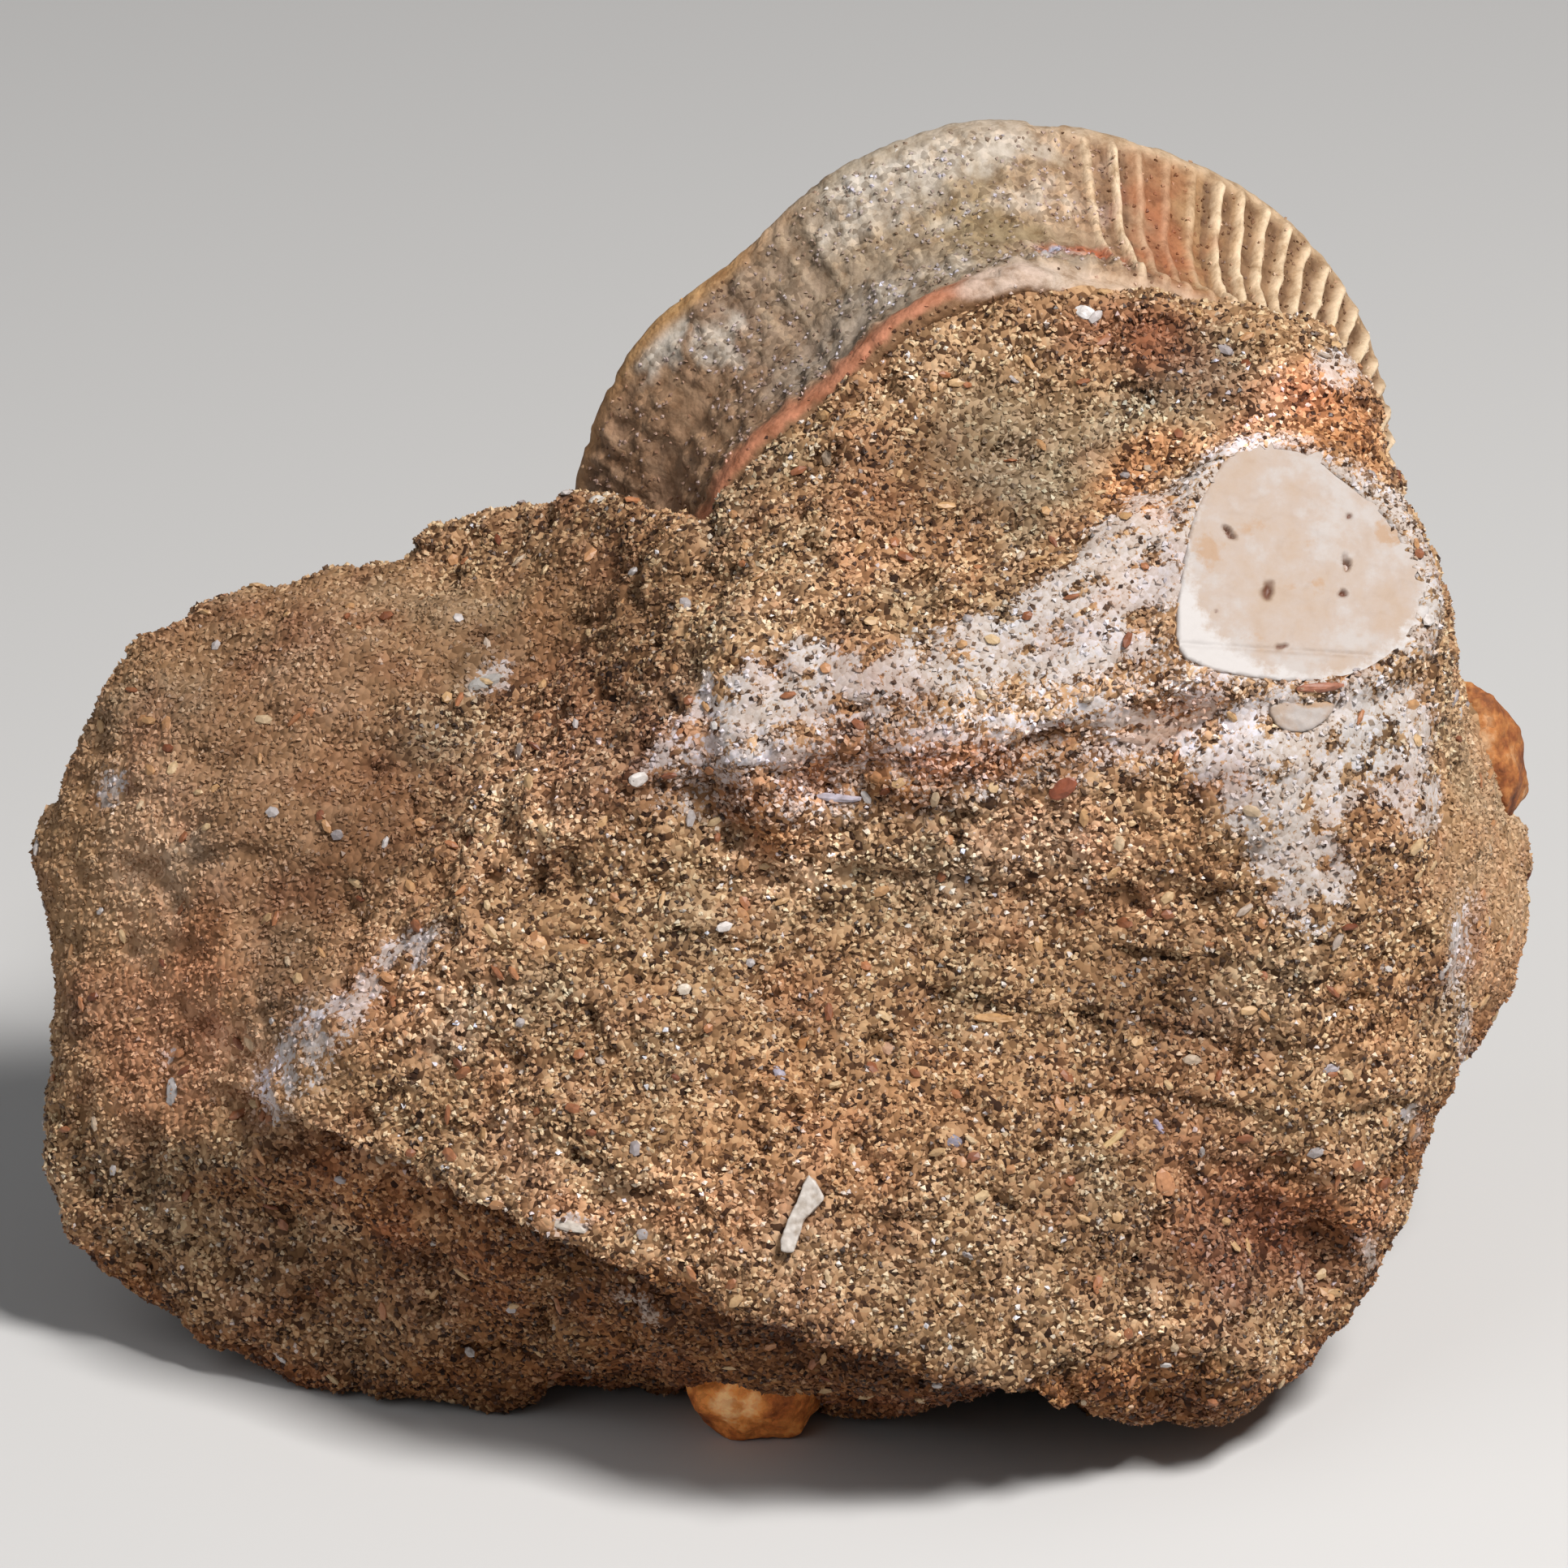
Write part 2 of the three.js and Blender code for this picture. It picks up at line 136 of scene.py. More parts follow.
def normals_of(points, quads):
    """The outward direction at each point of a closed mesh of quads."""
    across = points[quads[:, 2]] - points[quads[:, 0]]
    other = points[quads[:, 3]] - points[quads[:, 1]]
    flat = np.cross(across, other)
    total = np.zeros_like(points)
    for corner in range(4):
        np.add.at(total, quads[:, corner], flat)
    return total / np.maximum(np.linalg.norm(total, axis=1, keepdims=True), 1e-12)


def with_alpha(colours):
    """Colours with the fourth number that Blender keeps beside red, green and blue."""
    return np.concatenate([colours, np.ones((*colours.shape[:-1], 1))], axis=-1)


# %% [markdown]
# ## Camera, floor and light
# A long lens keeps the block's two ends the same size. It looks a little down on the broad face. One large
# soft light from the upper right gives the lumps their shade, and a dim sky fills the rest.

# %% Camera, floor and light
PICTURE_SIDE = 1932  # pixels
PIXEL = 0.054  # millimetres that one pixel takes in at the block's middle
LENS = 260.0
SENSOR = 36.0
AIM = face_point(0, 0, 0) * MM
BACK = Vector((0, -math.cos(FACE_LEAN), math.sin(FACE_LEAN)))
LIGHTS_AIM = Vector((0, 0, 0.04))
SKY = 0.10  # strength of the plain white surroundings

camera_data = bpy.data.cameras.new("camera")
camera_data.lens = LENS
camera_data.sensor_width = SENSOR
camera_data.clip_start = 0.01
camera = new_object("camera", camera_data)
camera.location = Vector(AIM) + BACK * (PICTURE_SIDE * PIXEL * MM * LENS / SENSOR)
camera.rotation_mode = "QUATERNION"
camera.rotation_quaternion = (-BACK).to_track_quat("-Z", "Y")
bpy.context.scene.camera = camera
bpy.context.scene.view_settings.view_transform = "Standard"


def soft_light(name, place, size, watts, colour=(1, 1, 1)):
    """A square light that faces the block's middle, placed in metres."""
    data = bpy.data.lights.new(name, "AREA")
    data.size = size
    data.energy = watts
    data.color = colour
    lamp = new_object(name, data)
    lamp.location = place
    lamp.rotation_mode = "QUATERNION"
    lamp.rotation_quaternion = (LIGHTS_AIM - Vector(place)).to_track_quat("-Z", "Y")


soft_light("key", (0.26, -0.24, 0.56), 0.16, 5.9, (1.0, 0.97, 0.94))
soft_light("fill", (-0.40, -0.28, 0.50), 0.60, 1.0, (0.96, 0.98, 1.0))

world = bpy.data.worlds.new("studio")
world.use_nodes = True
world.node_tree.nodes["Background"].inputs["Color"].default_value = (1, 1, 1, 1)
world.node_tree.nodes["Background"].inputs["Strength"].default_value = SKY
bpy.context.scene.world = world

FLOOR_HALF = 2000.0
FLOOR_TONE = 0.56  # pale, but dull enough to leave the block's underside in shade
corners = np.array([[-1, -1, 0], [1, -1, 0], [1, 1, 0], [-1, 1, 0]]) * FLOOR_HALF
floor = make_object("floor", corners, [(0, 1, 2, 3)])
card = bpy.data.materials.new("card")
card.use_nodes = True
card.node_tree.nodes["Principled BSDF"].inputs["Base Color"].default_value = (*[FLOOR_TONE] * 3, 1)
card.node_tree.nodes["Principled BSDF"].inputs["Roughness"].default_value = 0.9
floor.data.materials.append(card)
print("camera stands", round(camera.location.length, 2), "m away")

# %% [markdown]
# ## Node helpers
# Each finish is a small tree of nodes. One helper adds a node and sets or links its inputs, so that a tree
# reads as a list of what feeds what.


# %% Node helpers
def feed(tree, node, inputs):
    """Sets a node's inputs. Each is a value, or another node's output to link from."""
    for socket, value in inputs.items():
        if isinstance(value, bpy.types.NodeSocket):
            tree.links.new(value, node.inputs[socket])
        else:
            node.inputs[socket].default_value = value


def add(tree, kind, inputs=None, **settings):
    """Adds a node, with its settings and inputs."""
    made = tree.nodes.new(kind)
    for key, value in settings.items():
        setattr(made, key, value)
    feed(tree, made, inputs or {})
    return made


def mix_colour(tree, factor, first, second, blend="MIX"):
    """Blends two colours, each a linked output or linear light."""
    made = add(tree, "ShaderNodeMix", {0: factor}, data_type="RGBA", blend_type=blend)
    for socket, value in ((6, first), (7, second)):
        feed(tree, made, {socket: value if isinstance(value, bpy.types.NodeSocket) else (*value, 1)})
    return made.outputs[2]


def maths(tree, operation, first, second=0.0, clamp=False):
    """One sum on two numbers."""
    values = {0: first, 1: second}
    return add(tree, "ShaderNodeMath", values, operation=operation, use_clamp=clamp).outputs[0]


def noisy(tree, place, scale, detail, roughness=0.5):
    """Soft noise from 0 to 1."""
    values = {"Vector": place, "Scale": scale, "Detail": detail, "Roughness": roughness}
    return add(tree, "ShaderNodeTexNoise", values).outputs["Fac"]


def ramp(tree, factor, stops):
    """A colour ramp from (place, colour) stops."""
    made = add(tree, "ShaderNodeValToRGB", {"Fac": factor})
    elements = made.color_ramp.elements
    while len(elements) < len(stops):
        elements.new(0.5)
    for element, (place, colour) in zip(elements, stops):
        element.position = place
        element.color = (*colour, 1)
    return made.outputs["Color"]


def shade(low, high):
    """Stops of a grey ramp that goes from black at low to white at high."""
    return [(low, (0, 0, 0)), (high, (1, 1, 1))]


def new_group(name, inputs, outputs, kind="ShaderNodeTree"):
    """A node group with named sockets: {"Name": "NodeSocketFloat"}."""
    tree = bpy.data.node_groups.new(name, kind)
    for way, sockets in (("INPUT", inputs), ("OUTPUT", outputs)):
        for socket, socket_kind in sockets.items():
            tree.interface.new_socket(socket, in_out=way, socket_type=socket_kind)
    return tree, tree.nodes.new("NodeGroupInput").outputs, tree.nodes.new("NodeGroupOutput").inputs


def place_group(tree, group, inputs):
    """Places a shared effect, and gives its outputs."""
    return add(tree, "ShaderNodeGroup", inputs, node_tree=group).outputs


# %% Helpers for finishes
def new_finish(name):
    """A material, its tree, its Principled shader, and places on the piece to draw patterns by."""
    material = bpy.data.materials.new(name)
    material.use_nodes = True
    tree = material.node_tree
    here = add(tree, "ShaderNodeTexCoord").outputs["Object"]
    return material, tree, tree.nodes["Principled BSDF"], here


def kept_number(tree, name):
    """A number that the mesh keeps on its points."""
    return add(tree, "ShaderNodeAttribute", attribute_name=name).outputs["Fac"]


def kept_colour(tree, name):
    """A colour that the mesh keeps on its points."""
    return add(tree, "ShaderNodeAttribute", attribute_name=name).outputs["Color"]


def dress(tree, shader, colour, roughness, bump=None, shine=0.5):
    """Feeds the shader. A bump is its height, its strength and its distance in metres."""
    feed(tree, shader, {"Base Color": colour, "Roughness": roughness, "Specular IOR Level": shine})
    if bump:
        made = add(tree, "ShaderNodeBump", dict(zip(("Height", "Strength", "Distance"), bump)))
        feed(tree, shader, {"Normal": made.outputs["Normal"]})


COLOUR, NUMBER, PLACE = "NodeSocketColor", "NodeSocketFloat", "NodeSocketVector"
print("node helpers ready")

# %% [markdown]
# ## Shared effects
# Three effects turn up on more than one piece, so each is a node group. The first gives a grain of sand its
# colour from one random number, then lets the stain and the chalk of its place show. The second gives the
# height of a surface built of tiny grains. The third lays a blotchy stain over a colour.

# %% Colour of a grain of sand
GRAIN_TONES = [
    (0.00, linear("#2a170b")),
    (0.14, linear("#5a3e26")),
    (0.34, linear("#876747")),
    (0.58, linear("#a88461")),
    (0.78, linear("#be9f79")),
    (0.93, linear("#cab28d")),
    (0.98, linear("#cdbea9")),
    (1.00, linear("#cfccd0")),
]
CHALK_TONES = [
    (0.0, linear("#857668")),
    (0.2, linear("#a6978c")),
    (0.6, linear("#b6aca5")),
    (1.0, linear("#c5bfc2")),
]

grain_colour, given, result = new_group(
    "grain_colour",
    {"Chance": NUMBER, "Tint": COLOUR, "Chalk": NUMBER, "Calm": NUMBER},
    {"Color": COLOUR},
)
MIDDLING = 0.5  # the tone that grains come nearer to where the rock is calm
CALMING = 0.7  # how much nearer at most
CHALK_TINTED = 0.6  # share of the place's tint that chalk takes on
BARE_GRAINS = 0.03  # share of grains that take no chalk
offset = maths(grain_colour, "SUBTRACT", MIDDLING, given["Chance"])
calmed = maths(grain_colour, "MULTIPLY", offset, maths(grain_colour, "MULTIPLY", given["Calm"], CALMING))
toned = ramp(grain_colour, maths(grain_colour, "ADD", given["Chance"], calmed), GRAIN_TONES)
tinted = mix_colour(grain_colour, 1.0, toned, given["Tint"], "MULTIPLY")
chalked = ramp(grain_colour, given["Chance"], CHALK_TONES)
chalked = mix_colour(grain_colour, CHALK_TINTED, chalked, given["Tint"], "MULTIPLY")
taken = maths(grain_colour, "SUBTRACT", given["Chance"], BARE_GRAINS)
taken = maths(grain_colour, "MULTIPLY", taken, given["Chalk"])
taken = maths(grain_colour, "MULTIPLY", taken, 1.5, clamp=True)
grain_colour.links.new(mix_colour(grain_colour, taken, tinted, chalked), result["Color"])

# %% Height of packed grains
grain_height, given, result = new_group(
    "grain_height", {"Vector": PLACE, "Grains per metre": NUMBER}, {"Height": NUMBER, "Chance": NUMBER}
)
cells = add(
    grain_height,
    "ShaderNodeTexVoronoi",
    {"Vector": given["Vector"], "Scale": given["Grains per metre"], "Randomness": 1.0},
)
domed = maths(grain_height, "SUBTRACT", 1.0, cells.outputs["Distance"])
grain_height.links.new(domed, result["Height"])
split = add(grain_height, "ShaderNodeSeparateColor", {"Color": cells.outputs["Color"]})
grain_height.links.new(split.outputs[0], result["Chance"])

# %% Blotchy stain
stain, given, result = new_group(
    "stain",
    {"Vector": PLACE, "Blotches per metre": NUMBER, "Amount": NUMBER, "Color": COLOUR, "Stain": COLOUR},
    {"Color": COLOUR},
)
blotch = noisy(stain, given["Vector"], given["Blotches per metre"], 6.0, 0.65)
lifted = maths(stain, "ADD", blotch, maths(stain, "SUBTRACT", given["Amount"], 0.5))
edge = ramp(stain, lifted, shade(0.42, 0.66))
stain.links.new(mix_colour(stain, edge, given["Color"], given["Stain"]), result["Color"])
print("groups:", grain_colour.name, grain_height.name, stain.name)

# %% [markdown]
# ## The rock's skin
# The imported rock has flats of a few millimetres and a 0.3 mm gap round every piece set in it. A real block
# has neither. The skin is a closed ball of small squares, drawn in from outside on to the whole block. Where
# a ray meets bone, the skin slips just under it, so that sand is packed against the bone all round.
#
# A voxel remesh would also close the gaps, but it rounds the worn edges and spends half its faces inside the
# pockets. Rays cost a second and put every face where it can be seen.

# %% A ball of squares
HEART = np.array([2.0, 0.0, 32.0])
SQUARES = 127
STRETCH = np.array([1.35, 0.9, 1.0])


def ball_of_squares(steps):
    """Unit directions of six joined square grids, and their quads, facing out."""
    corners, faces = [], []
    i, j = np.meshgrid(np.arange(steps + 1), np.arange(steps + 1), indexing="ij")
    a, b = np.meshgrid(np.arange(steps), np.arange(steps), indexing="ij")
    base = a.ravel() * (steps + 1) + b.ravel()
    ring = np.stack([base, base + steps + 1, base + steps + 2, base + 1], axis=1)
    for axis in range(3):
        for side in (0, steps):
            grid = np.empty((i.size, 3), int)
            grid[:, axis] = side
            grid[:, (axis + 1) % 3] = i.ravel()
            grid[:, (axis + 2) % 3] = j.ravel()
            start = sum(len(c) for c in corners)
            corners.append(grid)
            faces.append((ring if side else ring[:, ::-1]) + start)
    lattice, index = np.unique(np.concatenate(corners), axis=0, return_inverse=True)
    spread = np.tan((lattice / steps * 2 - 1) * math.pi / 4) * STRETCH
    return spread / np.linalg.norm(spread, axis=1, keepdims=True), index.reshape(-1)[np.concatenate(faces)]


directions, quads = ball_of_squares(SQUARES)
print("skin:", len(directions), "points,", 2 * len(quads), "triangles")


# %% Draw it on to the solids
def solid_tree(names):
    """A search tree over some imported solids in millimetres, and which solid each face belongs to."""
    points, faces, owners = [], [], []
    for name in names:
        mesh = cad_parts[name].data
        mesh.calc_loop_triangles()
        start = len(points)
        points += [v.co / MM for v in mesh.vertices]
        faces += [[k + start for k in t.vertices] for t in mesh.loop_triangles]
        owners += [name] * len(mesh.loop_triangles)
    return BVHTree.FromPolygons(points, faces), owners


PIECES = sorted(set(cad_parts) - {"matrix"})
everything, owners = solid_tree(sorted(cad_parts))
held, _ = solid_tree(PIECES)
disc, _ = solid_tree(["vertebra"])

FAR = 150.0
GAP = 0.5  # a hit on rock nearer than this to a small piece is in the gap round it
DISC_GAP = 1.5  # the same round the disc, whose pocket also clears its ribs
SUNK = 1.3  # how far the skin passes under the pieces
RIM_SUNK = 2.6  # the same under the disc's rear rim
RIM_DEPTH = 1.5  # how far in front of the rear rim that goes
CUP_SUNK = 1.9  # the same under the rear cup, square to its surface
LEAST_SLANT = 0.3  # a ray that grazes the cup goes further to sink as deep, but only up to here
LIP_SAND_DEPTH = 0.9  # sand fills the front cup and laps over its lip

DISC_CENTRE = np.array([13.6, 26.0, 47.2])
DISC_HEADING = math.radians(13)
DISC_FRONT = np.array([math.sin(DISC_HEADING), -math.cos(DISC_HEADING), 0.0])
LIP_START = 17.5  # how far in front of the disc's rear rim its front lip begins

reach = np.zeros(len(directions))
bare = np.zeros(len(directions))
under_bone = np.zeros(len(directions), bool)
known = np.ones(len(directions), bool)
for k, way in enumerate(directions):
    start = Vector(HEART + way * FAR)
    place, normal, face, distance = everything.ray_cast(start, Vector(-way))
    reach[k] = FAR - distance
    in_front = np.dot(np.array(place) - DISC_CENTRE, DISC_FRONT)
    if owners[face] == "matrix":
        bare[k] = 1
        known[k] = held.find_nearest(place)[3] > GAP and disc.find_nearest(place)[3] > DISC_GAP
    elif owners[face] == "vertebra" and in_front > LIP_START:
        bare[k] = 1
        reach[k] += LIP_SAND_DEPTH
    else:
        under_bone[k] = owners[face] == "bone_fragment"
        of_disc = owners[face] == "vertebra"
        in_cup = of_disc and normal.dot(Vector(DISC_FRONT)) < -0.3
        slant = max(abs(normal.dot(Vector(way))), LEAST_SLANT)
        reach[k] -= max(SUNK, RIM_SUNK * (of_disc and in_front < RIM_DEPTH), CUP_SUNK / slant * in_cup)
print("in gaps:", int((~known).sum()), "points; under pieces:", int((bare == 0).sum()))


# %% Close the gaps and ease the flats
def neighbour_mean(values, edges, count):
    """The mean of each point's neighbours."""
    first, second = edges.T
    total = np.bincount(first, values[second], count) + np.bincount(second, values[first], count)
    return total / (np.bincount(first, minlength=count) + np.bincount(second, minlength=count))


sides = np.concatenate([quads[:, [k, (k + 1) % 4]] for k in range(4)])
edges = np.unique(np.sort(sides, axis=1), axis=0)
count = len(directions)
GAP_PASSES = 60
EASE_PASSES = 7
EASED = 0.65  # how far each pass draws a point to its neighbours' mean
for _ in range(GAP_PASSES):
    reach[~known] = neighbour_mean(reach, edges, count)[~known]
for _ in range(EASE_PASSES):
    mean = neighbour_mean(reach, edges, count)
    reach = np.where(bare > 0, (1 - EASED) * reach + EASED * mean, reach)
rock = HEART + directions * reach[:, None]
spread_bare = bare.copy()
for _ in range(2):
    spread_bare = np.minimum(spread_bare, neighbour_mean(spread_bare, edges, count))
print("skin spans", np.ptp(rock, axis=0).round(1), "mm")

# %% [markdown]
# ## Where the rock differs from place to place
# The block was rubbed on its crest and round the bone, which left chalky white smears. Iron stained parts of
# it red and orange, and a hollow above the crest is greenish grey. Each zone is a listed outline or an
# oval on the face, with its edge broken up by noise, and the skin keeps the result as numbers on its points.
# Other ovals are painted light and painted shade, and parts that face down get painted shade.


# %% Ovals and outlines
def oval(face, across, up, wide, high, turn=0.0, soft=0.5):
    """1 inside an oval on the face, fading to 0 outside it."""
    angle = math.radians(turn)
    x, y = face[:, 0] - across, face[:, 1] - up
    along = (x * math.cos(angle) + y * math.sin(angle)) / wide
    over = (-x * math.sin(angle) + y * math.cos(angle)) / high
    return 1 - smooth(1 - soft, 1 + soft, np.hypot(along, over))


def outlined(face, outline, soft):
    """1 inside a closed outline on the face, fading to 0 over soft millimetres either side of it."""
    p = face[:, None, :2]
    a = np.array(outline, float)
    b = np.roll(a, -1, axis=0)
    share = np.clip(((p - a) * (b - a)).sum(-1) / ((b - a) ** 2).sum(-1), 0, 1)
    distance = np.linalg.norm(p - a - share[..., None] * (b - a), axis=-1).min(1)
    crosses = (a[:, 1] > p[..., 1]) != (b[:, 1] > p[..., 1])
    rise = np.where((b - a)[:, 1] == 0, 1e-9, (b - a)[:, 1])
    crossing = a[:, 0] + (p[..., 1] - a[:, 1]) * (b - a)[:, 0] / rise
    inside = (crosses & (p[..., 0] < crossing)).sum(1) % 2 == 1
    return smooth(-soft, soft, np.where(inside, distance, -distance))


print("zones are drawn as ovals and outlines")

# %% Where the rock was rubbed, in millimetres across and up the face
CREST_SMEAR = [(-9.6, 0.6), (-7.5, 4), (-4.6, 7.2), (-1, 9.3), (1.8, 10), (4, 8.6), (8, 9.4), (13, 11.2)]
CREST_SMEAR += [(17.6, 13.4), (20, 16), (22, 18.2), (25.8, 20), (26, 8.6), (19, 7.2), (12.6, 6.2), (5, 4.4)]
CREST_SMEAR += [(-1, 3.2), (-5, 1.6)]
LOWER_STREAK = [(-10, 1), (-4, 2), (1.5, 3), (9.2, 3.9), (17, 5.1), (24, 6.2), (28, 6.2), (28, 4.4)]
LOWER_STREAK += [(24, 4.3), (17, 3.2), (9, 2), (1.5, 1.2), (-6, 0.2)]
DUSTED = [(-9, 0.8), (-4, 3.5), (5, 6), (14, 8), (26, 9.5), (27, 1.5), (18, -0.5), (9, -2), (0, -2.6)]
DUSTED += [(-8, -2.6)]
UNRUBBED = [  # strength, across, up, half width, half height, turn
    (0.9, 24.8, 9.6, 1.1, 1.5, 0),
    (0.9, -1.0, 8.6, 0.9, 0.6, 20),
]
RIGHT_SMEAR = [(26, 6), (30, 5.6), (38, 6.8), (41.8, 6.5), (42.6, 2), (43.6, -3), (41, -3.4), (38.6, 0)]
RIGHT_SMEAR += [(36.6, -2), (37, -8.6), (34.4, -9.6), (31, -7.5), (29.4, -3), (26, 1.2), (20.5, 2.4), (20, 5)]
BONE_MARGIN = [(25.2, 19.8), (30, 22.6), (35, 22), (41, 18.4), (43.4, 12), (42.4, 8), (36, 6), (26, 6.4)]

SMEAR_OVALS = [  # across, up, half width, half height, turn
    (36.4, 27.4, 1.9, 1.6, -30),
    (44.5, -11, 0.9, 3.4, -10),
    (45.3, -17.5, 0.6, 4.2, 8),
    (41.6, -22.3, 0.8, 1.4, 0),
    (38.4, -31.3, 1.0, 1.5, -20),
    (-31.6, -18.0, 1.9, 4.8, -34),
    (-28.4, -14.2, 3.0, 1.6, 40),
    (-24.8, -11.2, 3.0, 1.3, 32),
    (-41, -18.2, 0.5, 1.1, 0),
    (-45.5, -0.4, 1.0, 1.4, 0),
    (-19.6, 7, 1.4, 1.0, 30),
    (-13.6, -28.8, 1.0, 0.5, 0),
    (-9.6, -34.4, 1.8, 0.4, -20),
]
print("rubbed zones:", 5 + len(SMEAR_OVALS))

# %% Where the rock is stained, and where light and shade are painted on it
# Shares of red, green and blue that a stain lets through, against plain tan rock. The bright and the light
# shares are painted light on places that lie in shade, the dull share is painted shade, and the dark share
# is partly a dark stain and partly painted shade in hollows.
RED, ORANGE = np.array([0.82, 0.62, 0.58]), np.array([1.16, 0.90, 0.74])
GREY, PALE, DARK_STAIN_AND_SHADE = np.array([0.86, 1.04, 1.22]), np.array([1.25, 1.35, 1.5]), np.array([0.62, 0.55, 0.5])
PAINTED_SHADE, SOFT_PAINTED_LIGHT = np.array([0.78, 0.74, 0.76]), np.array([1.4, 1.3, 1.38])
PAINTED_LIGHT = np.array([1.5, 1.56, 1.7])
